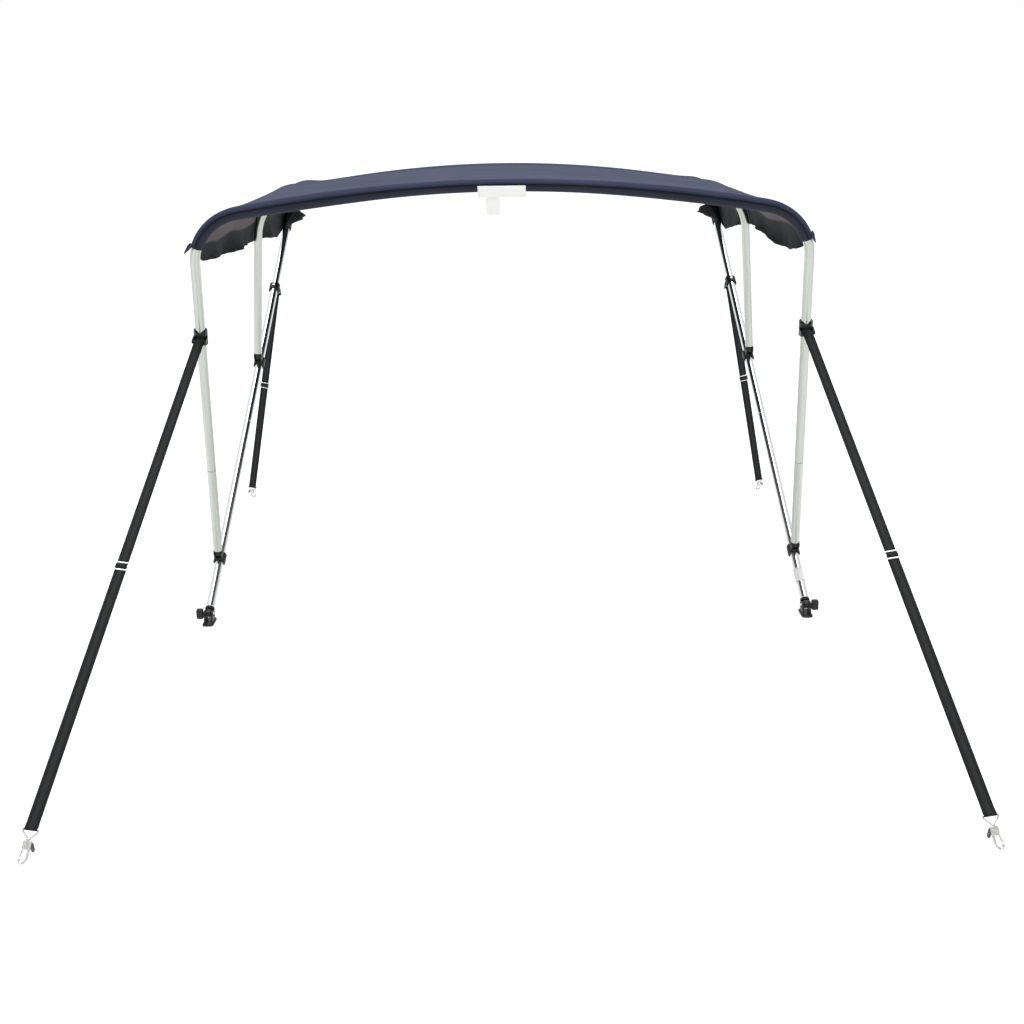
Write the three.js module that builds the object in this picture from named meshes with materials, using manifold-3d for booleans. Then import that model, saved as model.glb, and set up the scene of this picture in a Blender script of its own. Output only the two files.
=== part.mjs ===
// A folding sun top for a small boat: navy cloth over three aluminium bows, held up by four
// webbing straps, standing opened out on its two deck hinges and on its four snap hooks.
// Millimetres. X runs to the right seen from the front, Y to the back and Z up from the floor.
import * as THREE from "three";
import Module from "manifold-3d";
import { mergeVertices } from "three/addons/utils/BufferGeometryUtils.js";

const wasm = await Module();
wasm.setup();

// Driving sizes
const GAP = 0.3; // between pieces that touch on the real object
const TUBE_RADIUS = 12.5;
const DECK_HALF = 840; // from the middle to a deck hinge
const CORNER_RADIUS = 150;
// Each bow's bend: half its width over its outermost axis, and the rise of its arch between the corners
const FRONT_BEND = { half: 756, rise: 55 };
const MIDDLE_BEND = { half: 750, rise: 40 };
const MAIN_BEND = { half: 750, rise: 75 };
const PIVOT_HEIGHT = 28; // of the deck hinges' pins
const MAIN_LEAN = 37.4; // degrees up from the floor, towards the back
const MAIN_CROWN = 1892; // from the deck hinge's pin to the crown, along the bow's plane
const LOWER_JAW_AT = 187; // along the main bow's leg, as the next four
const MIDDLE_JAW_AT = 950;
const REAR_SLIDE_AT = 1290;
const MAIN_FERRULE_AT = 700;
const WRAP_LABEL_AT = 97;
const JAW_REACH = 30; // from the main leg's axis to a jaw's pin
const FRONT_CROWN_HEIGHT = 1204;
const FRONT_CROWN_BACK = -272; // behind the deck hinge
const FRONT_SLIDE_AT = 716; // along the front bow's leg, from its pin
const FRONT_FERRULE_AT = 296;
const MIDDLE_CROWN_HEIGHT = 1193;
const MIDDLE_CROWN_BACK = 628;
const STRAP_WIDTH = 25;
const STRAP_THICKNESS = 1.4;
const CLOTH_THICKNESS = 1.4;

// Colours, as sRGB, with the finish of each material
const FINISH = {
  canopy: { color: 0x3a3d55, roughness: 0.85, metalness: 0 },
  satinTube: { color: 0xc9ccc7, roughness: 0.42, metalness: 0.9 },
  polishedTube: { color: 0xe2e4e4, roughness: 0.14, metalness: 1 },
  nylon: { color: 0x1d1f21, roughness: 0.5, metalness: 0 },
  webbing: { color: 0x2c2e30, roughness: 0.9, metalness: 0 },
  steel: { color: 0xcfd1d0, roughness: 0.2, metalness: 1 },
  label: { color: 0xf2f2f0, roughness: 0.7, metalness: 0 },
};

const RIGHT = new THREE.Vector3(1, 0, 0);
const BACK = new THREE.Vector3(0, 1, 0);
const vector = (x, y, z) => new THREE.Vector3(x, y, z);
const bump = (distance, width) => Math.exp(-((distance / width) ** 2));
const along = (origin, direction, distance) => origin.clone().addScaledVector(direction, distance);
const mix = THREE.MathUtils.lerp;
const radians = THREE.MathUtils.degToRad;

// The value of a table's column at x, with straight lines between its rows.
function interpolate(table, key, column, x) {
  if (x <= table[0][key]) return table[0][column];
  for (let i = 1; i < table.length; i += 1) {
    const a = table[i - 1];
    const b = table[i];
    if (x <= b[key]) return mix(a[column], b[column], (x - a[key]) / (b[key] - a[key]));
  }
  return table.at(-1)[column];
}

// Solids and meshes

function solidOf(geometry) {
  const bare = geometry.index ? geometry.toNonIndexed() : geometry.clone();
  bare.deleteAttribute("normal");
  bare.deleteAttribute("uv");
  const merged = mergeVertices(bare, 1e-3);
  return new wasm.Manifold(
    new wasm.Mesh({
      numProp: 3,
      vertProperties: merged.attributes.position.array,
      triVerts: new Uint32Array(merged.index.array),
    }),
  );
}

function geometryOf(solid) {
  const mesh = solid.getMesh();
  const geometry = new THREE.BufferGeometry();
  geometry.setAttribute("position", new THREE.BufferAttribute(new Float32Array(mesh.vertProperties), 3));
  geometry.setIndex(new THREE.BufferAttribute(new Uint32Array(mesh.triVerts), 1));
  geometry.computeVertexNormals();
  return geometry;
}

const joined = (...solids) => solids.reduce((a, b) => a.add(b));

function named(name, shape, finish) {
  const geometry = shape instanceof THREE.BufferGeometry ? shape : geometryOf(shape);
  const mesh = new THREE.Mesh(geometry, new THREE.MeshStandardMaterial(FINISH[finish]));
  mesh.name = name;
  return mesh;
}

// Puts a mesh at a place with its own z along an axis and its own y as near to another as it goes.
function placed(mesh, origin, zAxis, yHint) {
  const z = zAxis.clone().normalize();
  const x = new THREE.Vector3().crossVectors(yHint, z).normalize();
  const y = new THREE.Vector3().crossVectors(z, x);
  mesh.quaternion.setFromRotationMatrix(new THREE.Matrix4().makeBasis(x, y, z));
  mesh.position.copy(origin);
  return mesh;
}

// A turned solid about its own z: the profile is a list of radius and height.
function turned(profile, sides) {
  const geometry = new THREE.LatheGeometry(
    profile.map(([radius, height]) => new THREE.Vector2(radius, height)),
    sides,
  );
  return solidOf(geometry.rotateX(Math.PI / 2));
}

const rod = (radius, from, to, sides = 16) =>
  turned([[0, from], [radius, from], [radius, to], [0, to]], sides);

const block = (x, y, z, at = [0, 0, 0]) => solidOf(new THREE.BoxGeometry(x, y, z).translate(...at));

// A plate of a rounded outline in its own x and y, thick along z about the middle.
function plate(shape, thickness, curveSegments = 6) {
  const geometry = new THREE.ExtrudeGeometry(shape, { depth: thickness, bevelEnabled: false, curveSegments });
  return solidOf(geometry.translate(0, 0, -thickness / 2));
}

function roundedSlab(width, length, radius) {
  const shape = new THREE.Shape();
  const x = width / 2 - radius;
  const y = length / 2 - radius;
  shape.absarc(x, y, radius, 0, Math.PI / 2);
  shape.absarc(-x, y, radius, Math.PI / 2, Math.PI);
  shape.absarc(-x, -y, radius, Math.PI, 1.5 * Math.PI);
  shape.absarc(x, -y, radius, 1.5 * Math.PI, 2 * Math.PI);
  return shape;
}

// A round bar swept along a path, with closed ends.
function swept(path, steps, radius, sides) {
  const shape = new THREE.Shape();
  for (let i = 0; i < sides; i += 1) {
    const angle = (2 * Math.PI * i) / sides;
    const x = radius * Math.cos(angle);
    const y = radius * Math.sin(angle);
    if (i === 0) shape.moveTo(x, y);
    else shape.lineTo(x, y);
  }
  shape.closePath();
  return new THREE.ExtrudeGeometry(shape, { extrudePath: path, steps, bevelEnabled: false });
}

// A cloth of even thickness about a grid of points. rows[i][j] is a point, and the cloth's outer
// side is where the turn from i to j points.
function sheet(rows, thickness) {
  const last = { i: rows.length - 1, j: rows[0].length - 1 };
  const position = [];
  for (const side of [0.5, -0.5]) {
    for (let i = 0; i <= last.i; i += 1) {
      for (let j = 0; j <= last.j; j += 1) {
        const alongI = rows[Math.min(i + 1, last.i)][j].clone().sub(rows[Math.max(i - 1, 0)][j]);
        const alongJ = rows[i][Math.min(j + 1, last.j)].clone().sub(rows[i][Math.max(j - 1, 0)]);
        const normal = alongI.cross(alongJ).normalize();
        position.push(...along(rows[i][j], normal, side * thickness).toArray());
      }
    }
  }
  const half = (last.i + 1) * (last.j + 1);
  const at = (i, j, under) => i * (last.j + 1) + j + (under ? half : 0);
  const index = [];
  const quad = (a, b, c, d) => index.push(a, b, c, a, c, d);
  for (let i = 0; i < last.i; i += 1) {
    for (let j = 0; j < last.j; j += 1) {
      quad(at(i, j), at(i + 1, j), at(i + 1, j + 1), at(i, j + 1));
      quad(at(i, j, true), at(i, j + 1, true), at(i + 1, j + 1, true), at(i + 1, j, true));
    }
    quad(at(i, 0), at(i, 0, true), at(i + 1, 0, true), at(i + 1, 0));
    quad(at(i, last.j), at(i + 1, last.j), at(i + 1, last.j, true), at(i, last.j, true));
  }
  for (let j = 0; j < last.j; j += 1) {
    quad(at(0, j), at(0, j + 1), at(0, j + 1, true), at(0, j, true));
    quad(at(last.i, j), at(last.i, j, true), at(last.i, j + 1, true), at(last.i, j + 1));
  }
  const geometry = new THREE.BufferGeometry();
  geometry.setAttribute("position", new THREE.Float32BufferAttribute(position, 3));
  geometry.setIndex(index);
  geometry.computeVertexNormals();
  return geometry;
}

// The bows

const CROWN_PARTS = 7; // cells of cloth and tube from the middle to a corner
const CORNER_PARTS = 6;

// A bow in a plane of its own: base is the middle between its feet, lean the plane's angle up from
// the back, footHalf half the distance between the feet, and crown the distance to its top.
function makeBow(base, lean, footHalf, crown, { half, rise }) {
  const up = vector(0, Math.cos(lean), Math.sin(lean));
  const cornerX = half - CORNER_RADIUS;
  const crownRadius = (cornerX ** 2 + rise ** 2) / (2 * rise);
  const inward = crownRadius - CORNER_RADIUS;
  const cornerUp = crown - crownRadius + Math.sqrt(inward ** 2 - cornerX ** 2);
  const crownAngle = Math.asin(cornerX / inward);
  const footAngle = Math.atan2(-cornerUp, footHalf - cornerX);
  const footDistance = Math.hypot(footHalf - cornerX, cornerUp);
  const legAngle = footAngle + Math.acos(CORNER_RADIUS / footDistance);
  const point = (x, s) => base.clone().addScaledVector(RIGHT, x).addScaledVector(up, s);
  const foot = point(footHalf, 0);

  // Stations run from the crown, 0, over the end of the arch, CROWN_PARTS, to the straight leg.
  function station(index) {
    if (index <= CROWN_PARTS) {
      const angle = (crownAngle * index) / CROWN_PARTS;
      return flat(angle, 0, crown - crownRadius, crownRadius);
    }
    const share = (index - CROWN_PARTS) / CORNER_PARTS;
    const angle = mix(crownAngle, Math.PI / 2 - legAngle, share);
    return flat(angle, cornerX, cornerUp, CORNER_RADIUS);
  }
  function flat(angle, x, s, radius) {
    const out = RIGHT.clone().multiplyScalar(Math.sin(angle)).addScaledVector(up, Math.cos(angle));
    return { point: along(point(x, s), out, radius), out };
  }

  const legTop = station(CROWN_PARTS + CORNER_PARTS);
  const cornerStep = (CORNER_RADIUS * (Math.PI / 2 - legAngle - crownAngle)) / CORNER_PARTS;
  const legLength = legTop.point.distanceTo(foot);
  const legUp = legTop.point.clone().sub(foot).normalize();
  const onLeg = (distance) => along(foot, legUp, distance);
  return { up, foot, station, cornerStep, legTop, legLength, legUp, onLeg };
}

const hingeMiddle = vector(0, 0, PIVOT_HEIGHT);
const mainLean = radians(MAIN_LEAN);
const mainBow = makeBow(hingeMiddle, mainLean, DECK_HALF, MAIN_CROWN, MAIN_BEND);
// The side of a main leg that faces up and to the front, where the other bows sit.
const legFace = new THREE.Vector3().crossVectors(RIGHT, mainBow.up);

function makeJawBow(jawAt, crownBack, crownHeight, bend) {
  const pin = along(mainBow.onLeg(jawAt), legFace, JAW_REACH);
  const base = vector(0, pin.y, pin.z);
  const toCrown = vector(0, crownBack, crownHeight).sub(base);
  return makeBow(base, Math.atan2(toCrown.z, toCrown.y), pin.x, toCrown.length(), bend);
}

const frontBow = makeJawBow(LOWER_JAW_AT, FRONT_CROWN_BACK, FRONT_CROWN_HEIGHT, FRONT_BEND);
const middleBow = makeJawBow(MIDDLE_JAW_AT, MIDDLE_CROWN_BACK, MIDDLE_CROWN_HEIGHT, MIDDLE_BEND);

// A path through given stations, with a section at each of them and none between.
class StationPath extends THREE.Curve {
  constructor(stations) {
    super();
    this.stations = stations;
  }

  getUtoTmapping(u) {
    return u;
  }

  between(t) {
    const place = t * (this.stations.length - 1);
    const i = Math.min(Math.floor(place), this.stations.length - 2);
    return [this.stations[i], this.stations[i + 1], place - i];
  }

  getPoint(t, target = new THREE.Vector3()) {
    const [a, b, share] = this.between(t);
    return target.lerpVectors(a.point, b.point, share);
  }

  getTangent(t, target = new THREE.Vector3()) {
    const [a, b, share] = this.between(t);
    return target.lerpVectors(a.tangent, b.tangent, share).normalize();
  }
}

const throughStations = (stations, radius, sides) =>
  swept(new StationPath(stations), stations.length - 1, radius, sides);

// A bent wire through points, each turn of it spread over the points that are given.
function wire(points, radius, sides) {
  const stations = points.map((point, i) => {
    const before = points[Math.max(i - 1, 0)];
    const after = points[Math.min(i + 1, points.length - 1)];
    const into = point.clone().sub(before).normalize();
    const onward = after.clone().sub(point).normalize();
    return { point, tangent: into.add(onward).normalize() };
  });
  return solidOf(throughStations(stations, radius, sides));
}

// The bent top of a bow with as much of its legs as reaches down to footAt.
function bentTube(bow, footAt) {
  const planeNormal = new THREE.Vector3().crossVectors(RIGHT, bow.up);
  const right = [];
  for (let i = 0; i <= CROWN_PARTS + CORNER_PARTS; i += 1) {
    const { point, out } = bow.station(i);
    right.push({ point, tangent: new THREE.Vector3().crossVectors(out, planeNormal) });
  }
  right.push({ point: bow.onLeg(footAt), tangent: bow.legUp.clone().negate() });
  const left = right.slice(1).map(({ point, tangent }) => ({
    point: point.clone().multiply(vector(-1, 1, 1)),
    tangent: tangent.clone().multiply(vector(1, -1, -1)),
  }));
  return throughStations([...left.reverse(), ...right], TUBE_RADIUS, 12);
}

// A straight tube between two distances along a bow's right leg.
function straightTube(name, bow, from, to, finish) {
  return placed(named(name, rod(TUBE_RADIUS, 0, to - from, 12), finish), bow.onLeg(from), bow.legUp, BACK);
}

// The cloth

const SLEEVE_RADIUS = 15.2; // of the cloth's middle layer around a bow
const SLEEVE_HANG = 1; // of the sleeve below the tube that it rests on
const SLEEVE_ANGLES = [0, 30, 60, 90, 120, 150, 180, 210, 240, 270];
const FLANGE_SHARE = 0.04; // of the way to the next bow, where a sleeve's inner edge is sewn
const SEAM_GAP = 0.6; // between the layers of cloth at a seam
const FLAP_REACH = 68; // of the rear sleeve's free end, which stands in from the hem at each side
const FLAP_AT = 13.9; // column
const FLAP_SPREAD = 0.95; // columns
const DROP_PARTS = 4; // cells of the side drop below the corners
const TAIL_STATIONS = 2; // of a corner that only the sleeves' tails run over
const SLEEVE_CORNER = CROWN_PARTS + CORNER_PARTS - TAIL_STATIONS; // the last station of the top cloth
const FRONT_SLEEVE_TAIL = 18; // from that station to the front sleeve's end
const REAR_SLEEVE_TAIL = 154;
const PANEL_SHARES = [0.022, 0.06, 0.16, 0.32, 0.48, 0.64, 0.81, 0.965];
const PANEL_SAG = 9; // of the cloth halfway between two bows
const SEAM_DIPS = { front: 4, rear: 7 }; // of the cloth along a sleeve's inner seam
const SEAM_DIP_WIDTH = 30;
const SEAM_DIP_AT = 55; // from the bow
const BRIDGE_RISE = { left: 8, right: 0 }; // of the cloth off the middle bow's corners
const BRIDGE_AT = 8.2; // column where it stands off most
const BRIDGE_REACH = 2.4; // columns
const HEM_SWAY = 5; // of the side drop's waves
const HEM_CURL = 20; // of the lower edge, turned in between the bows' legs
const DROP_SPREAD = 25; // of the hem outside that station

// Height of the side hems behind the deck hinge, left and right, as uneven as they hang.
const HEM_LINE = [
  { back: -225, left: 1070, right: 1070 },
  { back: -160, left: 1036, right: 1042 },
  { back: -110, left: 1019, right: 1030 },
  { back: 20, left: 1012, right: 1013 },
  { back: 180, left: 1008, right: 1013 },
  { back: 300, left: 1005, right: 1022 },
  { back: 420, left: 1002, right: 1028 },
  { back: 650, left: 998, right: 1029 },
  { back: 810, left: 996, right: 1018 },
  { back: 1020, left: 987, right: 995 },
  { back: 1160, left: 984, right: 986 },
  { back: 1270, left: 1008, right: 1006 },
];

// How far the hem turns in, as a share of HEM_CURL: nothing where a bow's leg stands behind it.
const CURL_LINE = [
  { back: -200, share: 0 },
  { back: -80, share: 0.9 },
  { back: 150, share: 0.5 },
  { back: 380, share: 1 },
  { back: 560, share: 0 },
  { back: 760, share: 0 },
  { back: 930, share: 0.8 },
  { back: 1080, share: 0.4 },
  { back: 1160, share: 0 },
];

// Soft ridges of the top cloth: where they are, how high, and their reach across and along.
const RIDGES = [
  { x: -705, back: 1400, rise: 7, across: 45, reach: 120 },
  { x: -560, back: 1440, rise: 12, across: 26, reach: 90 },
  { x: -300, back: 150, rise: -4, across: 120, reach: 160 },
  { x: 420, back: 1050, rise: -5, across: 150, reach: 180 },
  { x: 610, back: 300, rise: 5, across: 60, reach: 220 },
  { x: -620, back: 260, rise: 4, across: 50, reach: 240 },
];

// A column of the cloth is a signed number, from the left hem to the right one.
const COLUMNS = SLEEVE_CORNER + DROP_PARTS;

function onSide(column, value) {
  return column < 0 ? value.multiply(vector(-1, 1, 1)) : value;
}

// A sleeve is loose by some millimetres near a column, where it hangs below its bow or stands up
// over it.
const sleeves = {
  front: {
    bow: frontBow,
    tail: FRONT_SLEEVE_TAIL,
    away: BACK.clone().negate(),
    loose: { left: 2.6, right: 2, at: 5, reach: 2.4, up: -1 },
  },
  rear: {
    bow: mainBow,
    tail: REAR_SLEEVE_TAIL,
    away: BACK.clone(),
    loose: { left: 15, right: 9, at: 9.5, reach: 1.7, up: 1 },
  },
};

// Distance down a sleeve's tail to its nth column.
function tailDistance({ bow, tail }, nth) {
  const bent = TAIL_STATIONS * bow.cornerStep;
  if (tail < bent) return (tail * nth) / DROP_PARTS;
  if (nth <= TAIL_STATIONS) return nth * bow.cornerStep;
  return mix(bent, tail, (nth - TAIL_STATIONS) / (DROP_PARTS - TAIL_STATIONS));
}

// Where a bow's axis runs under a column of cloth, and the way out of the bow there.
function bowColumn(sleeve, column) {
  const { bow } = sleeve;
  const index = Math.abs(column);
  if (index <= SLEEVE_CORNER) return bow.station(index);
  const steps = tailDistance(sleeve, index - SLEEVE_CORNER) / bow.cornerStep;
  if (steps <= TAIL_STATIONS) return bow.station(SLEEVE_CORNER + steps);
  const down = (steps - TAIL_STATIONS) * bow.cornerStep;
  return { point: along(bow.legTop.point, bow.legUp, -down), out: bow.legTop.out };
}

// The level way out of the cloth where a bow's own way out is given.
function levelled(out) {
  return vector(out.x, 0, out.z).normalize();
}

// The cloth's section around a bow: n is the way out of the cloth, and side leads off the cloth.
function sleeveFrame(sleeve, column) {
  const { point, out } = bowColumn(sleeve, column);
  const planeNormal = new THREE.Vector3().crossVectors(RIGHT, sleeve.bow.up);
  if (planeNormal.dot(sleeve.away) < 0) planeNormal.negate();
  const level = levelled(out);
  const tilt = Math.atan2(level.dot(planeNormal), level.dot(out));
  const across = (angle) =>
    out.clone().multiplyScalar(Math.cos(angle)).addScaledVector(planeNormal, Math.sin(angle));
  const n = across(tilt);
  const extra = looseness(sleeve, column);
  return {
    middle: along(point, n, extra * (sleeve.loose?.up ?? 0) - SLEEVE_HANG),
    n,
    side: across(tilt + Math.PI / 2),
    radius: SLEEVE_RADIUS + extra,
  };
}

function looseness({ loose }, column) {
  if (!loose) return 0;
  const most = column < 0 ? loose.left : loose.right;
  return most * bump(Math.abs(column) - loose.at, loose.reach);
}

function sleevePoint({ middle, n, side, radius }, angle) {
  const turn = radians(angle);
  return middle
    .clone()
    .addScaledVector(n, radius * Math.cos(turn))
    .addScaledVector(side, radius * Math.sin(turn));
}

// The share of its slack that the cloth keeps in a column: it is drawn tight over the corners.
function slackAt(column) {
  return 1 - Math.max(0, Math.abs(column) - CROWN_PARTS) / (SLEEVE_CORNER - CROWN_PARTS);
}

// How far the cloth lies off its straight run between two bows, along its own outward direction.
function reliefAt(column, point, share, seamDip, toBow) {
  let dip = PANEL_SAG * 4 * share * (1 - share);
  dip += seamDip * bump(toBow - SEAM_DIP_AT, SEAM_DIP_WIDTH) * Math.min(1, toBow / SEAM_DIP_AT);
  let lift = -dip * slackAt(column);
  for (const ridge of RIDGES) {
    const near = bump(point.x - ridge.x, ridge.across) * bump(point.y - ridge.back, ridge.reach);
    lift += ridge.rise * near * Math.min(1, 6 * share * (1 - share));
  }
  return lift;
}

// Where the cloth lies over the middle bow, down to the corners. Over the corners it is drawn
// straight from the front bow to the rear one, and stands a little off the middle bow.
function overMiddleBow(column) {
  const { point, out } = middleBow.station(Math.abs(column));
  const n = levelled(out);
  const bridge = column < 0 ? BRIDGE_RISE.left : BRIDGE_RISE.right;
  const lift = bridge * bump(Math.abs(column) - BRIDGE_AT, BRIDGE_REACH);
  return { point: along(point, n, SLEEVE_RADIUS - SLEEVE_HANG + lift), n };
}

// The ends of a span of cloth at a column: the points, and the ways out of the cloth there.
function spanEnds(column, span) {
  const frame = sleeveFrame(sleeves[span], column);
  const bowEnd = { point: sleevePoint(frame, 0), n: frame.n };
  return span === "front" ? [bowEnd, overMiddleBow(column)] : [overMiddleBow(column), bowEnd];
}

// The cloth between two bows, at a share of the way, down to the corners.
function panelPoint(column, span, share) {
  const [from, to] = spanEnds(column, span);
  const point = onSide(column, from.point.clone().lerp(to.point, share));
  const n = onSide(column, from.n.clone().lerp(to.n, share).normalize());
  const toBow = (span === "front" ? share : 1 - share) * from.point.distanceTo(to.point);
  return { point: along(point, n, reliefAt(column, point, share, SEAM_DIPS[span], toBow)), n };
}

// The side drop, from the corners down to the hem.
function dropPoint(column, span, share) {
  const nth = Math.abs(column) - SLEEVE_CORNER;
  const top = panelPoint(Math.sign(column) * SLEEVE_CORNER, span, share);
  const sleeve = sleeves[span];
  const toSleeve = span === "front" ? 1 - share : share;
  const down = mix(nth / DROP_PARTS, tailDistance(sleeve, nth) / sleeve.tail, toSleeve);
  const sleeveEnd = sleevePoint(sleeveFrame(sleeve, COLUMNS), 0);
  const hemBack = mix(MIDDLE_CROWN_BACK, sleeveEnd.y, toSleeve);
  const back = mix(top.point.y, hemBack, down);
  const hem = interpolate(HEM_LINE, "back", column < 0 ? "left" : "right", hemBack);
  const curl = HEM_CURL * interpolate(CURL_LINE, "back", "share", hemBack);
  const wave = 1 + Math.sin(back / 47 + (column < 0 ? 0 : 2.1) + down);
  const sway = HEM_SWAY * wave * down * Math.min(1, curl / HEM_SWAY);
  const free = Math.abs(top.point.x) + DROP_SPREAD * Math.sin((Math.PI / 2) * down) - curl * down ** 3 - sway;
  const held = sleevePoint(sleeveFrame(sleeve, column), 0).x;
  const x = mix(free, held, toSleeve ** 4);
  const point = vector(Math.sign(column) * x, back, mix(top.point.z, hem, down));
  return { point, n: vector(Math.sign(column), 0, 0) };
}

const clothAt = (column, span, share) =>
  Math.abs(column) <= SLEEVE_CORNER ? panelPoint(column, span, share) : dropPoint(column, span, share);

function clothRow(pointAt, reach = COLUMNS) {
  const row = [];
  for (let column = -reach; column <= reach; column += 1) row.push(pointAt(column));
  return row;
}

// A row of points under the cloth, by a depth from its middle layer that may change by column.
const rowUnder = (span, share, depthAt, reach) =>
  clothRow((column) => {
    const { point, n } = clothAt(column, span, share);
    return along(point, n, -depthAt(column));
  }, reach);

// A sleeve, from its sewn inner edge around the bow to where the top cloth leaves the bow.
function sleeveRows(span) {
  const turns = [...SLEEVE_ANGLES].reverse().map((angle) =>
    clothRow((column) => onSide(column, sleevePoint(sleeveFrame(sleeves[span], column), angle))),
  );
  const seamShare = span === "front" ? FLANGE_SHARE : 1 - FLANGE_SHARE;
  const flap = span === "front" ? 0 : FLAP_REACH;
  const depthAt = (column) =>
    CLOTH_THICKNESS + SEAM_GAP + flap * bump(Math.abs(column) - FLAP_AT, FLAP_SPREAD);
  return [rowUnder(span, seamShare, depthAt), ...turns];
}

const panelRows = (span, shares) =>
  shares.map((share) => clothRow((column) => clothAt(column, span, share).point));

const canopyPoints = () => [
  ...sleeveRows("front"),
  ...panelRows("front", [...PANEL_SHARES, 1]),
  ...panelRows("rear", PANEL_SHARES.map((share) => 1 - share).reverse()),
  ...sleeveRows("rear").reverse(),
];

// The pocket sewn under the top cloth that holds the middle bow.
const POCKET_ANGLES = [80, 115, 150, 180, 210, 245, 280];
const POCKET_THICKNESS = 1.4;
const POCKET_SEAM_SHARES = [0.965, 0.98];

function pocketPoints() {
  const depth = CLOTH_THICKNESS / 2 + SEAM_GAP + POCKET_THICKNESS / 2;
  const sleeve = { bow: middleBow, tail: 1, away: sleeves.front.away };
  const turns = POCKET_ANGLES.map((angle) =>
    clothRow((column) => onSide(column, sleevePoint(sleeveFrame(sleeve, column), angle)), CROWN_PARTS),
  );
  const seam = (span, share) => rowUnder(span, share, () => depth, CROWN_PARTS);
  return [
    ...POCKET_SEAM_SHARES.map((share) => seam("front", share)),
    ...turns,
    ...POCKET_SEAM_SHARES.map((share) => seam("rear", 1 - share)).reverse(),
  ];
}

// Fittings of the bows' ends, each about its pin, with the tube along z

const PIN_RADIUS = 3.5;
const PIN_ROOM = 0.9; // around a pin, because a leg leans a little against its jaw
const EYE_RADIUS = 9.5;
const EYE_WIDTH = 12;
const SLOT_HALF = 7.3; // of the room that an eye has between two cheeks
const COLLAR_RADIUS = 13.4;
const COLLAR_HEIGHT = 7;
const TUBE_START = 20; // from the pin to the end of the tube

const crossBar = (radius, from, to, sides) => rod(radius, from, to, sides).rotate([0, 90, 0]);

function tubeEnd() {
  const neckTop = TUBE_START - GAP - COLLAR_HEIGHT / 2;
  const neck = block(EYE_WIDTH, 15, neckTop, [0, 0, neckTop / 2]);
  const eye = crossBar(EYE_RADIUS, -EYE_WIDTH / 2, EYE_WIDTH / 2, 12);
  const collar = turned(
    [
      [0, -COLLAR_HEIGHT],
      [COLLAR_RADIUS - 1.5, -COLLAR_HEIGHT],
      [COLLAR_RADIUS, -COLLAR_HEIGHT + 1.5],
      [COLLAR_RADIUS, 0],
      [0, 0],
    ],
    12,
  ).translate([0, 0, TUBE_START - GAP]);
  return joined(neck, eye, collar).subtract(crossBar(PIN_RADIUS + PIN_ROOM, -40, 40, 8));
}

// Slides on a leg along z. What they hold is on the y side.
const BAND_RADIUS = 17.5;
const CHEEK_THICKNESS = 4.5;
const SCOOP_RADIUS = 16;
const SCOOP_DEPTH = 5;
const BORE_GAP = 0.6; // so that the bore's flats clear the tube

function slideBand(length) {
  const scoop = (end) =>
    rod(SCOOP_RADIUS, -30, 30, 12)
      .rotate([90, 0, 0])
      .translate([0, 0, end * (length / 2 + SCOOP_RADIUS - SCOOP_DEPTH)]);
  return rod(BAND_RADIUS, -length / 2, length / 2, 14).subtract(scoop(1)).subtract(scoop(-1));
}

const boreOut = (solid) => solid.subtract(rod(TUBE_RADIUS + BORE_GAP, -60, 60, 14));

const screwHead = (radius, height) =>
  turned([[0, -3], [radius, -3], [radius, height * 0.5], [radius * 0.7, height], [0, height]], 8);

function cheekPlate(side, outline, thickness) {
  return plate(outline, thickness, 4)
    .rotate([90, 0, 90])
    .translate([side * (SLOT_HALF + thickness / 2), 0, 0]);
}

function jawSlide() {
  const outline = new THREE.Shape();
  outline.moveTo(8, -11.5);
  outline.lineTo(JAW_REACH, -10.5);
  outline.absarc(JAW_REACH, 0, 10.5, -Math.PI / 2, Math.PI / 2);
  outline.lineTo(8, 11.5);
  outline.closePath();
  const pinHalf = SLOT_HALF + CHEEK_THICKNESS + 1.5;
  const pin = crossBar(PIN_RADIUS, -pinHalf, pinHalf, 8).translate([0, JAW_REACH, 0]);
  const grip = block(14, 6, 18, [0, -BAND_RADIUS - 1.5, 0]);
  const screw = screwHead(4, 2.5).rotate([0, 90, 0]).translate([7, -BAND_RADIUS - 1, 0]);
  const cheeks = [1, -1].map((side) => cheekPlate(side, outline, CHEEK_THICKNESS));
  return boreOut(joined(slideBand(30), ...cheeks, grip, screw)).add(pin);
}

const STRAP_BAR_REACH = 27; // from the leg's axis to the bar that holds the strap
const STRAP_BAR_RADIUS = 3;
const STRAP_BAR_HALF = 16.5;

// A strap slide's bar lies along an axis that is square to its strap.
function strapSlide(length, barAxis) {
  const lug = (side) =>
    block(4, STRAP_BAR_REACH - 2, 11, [side * STRAP_BAR_HALF, STRAP_BAR_REACH / 2 + 5, 0]);
  const half = barAxis.clone().multiplyScalar(STRAP_BAR_HALF);
  const middle = vector(0, STRAP_BAR_REACH, 0);
  const bar = wire([middle.clone().sub(half), middle.clone().add(half)], STRAP_BAR_RADIUS, 10);
  const screw = screwHead(4.5, 3).rotate([90, 0, 0]).translate([0, -BAND_RADIUS + 0.5, 0]);
  return boreOut(joined(slideBand(length), lug(1), lug(-1), screw)).add(bar);
}

// A deck hinge about its pin, level on the floor, with its knob on the x side.
const BASE_WIDTH = 31;
const BASE_LENGTH = 62;
const BASE_HEIGHT = 6;
const HINGE_CHEEK = 5;
const NUT_LENGTH = 5;
const KNOB_WIDTH = 19;
const KNOB_LENGTH = 29;
const KNOB_DEPTH = 13;
const KNOB_START = 15.6; // from the hinge's middle plane to the knob's grip

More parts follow.
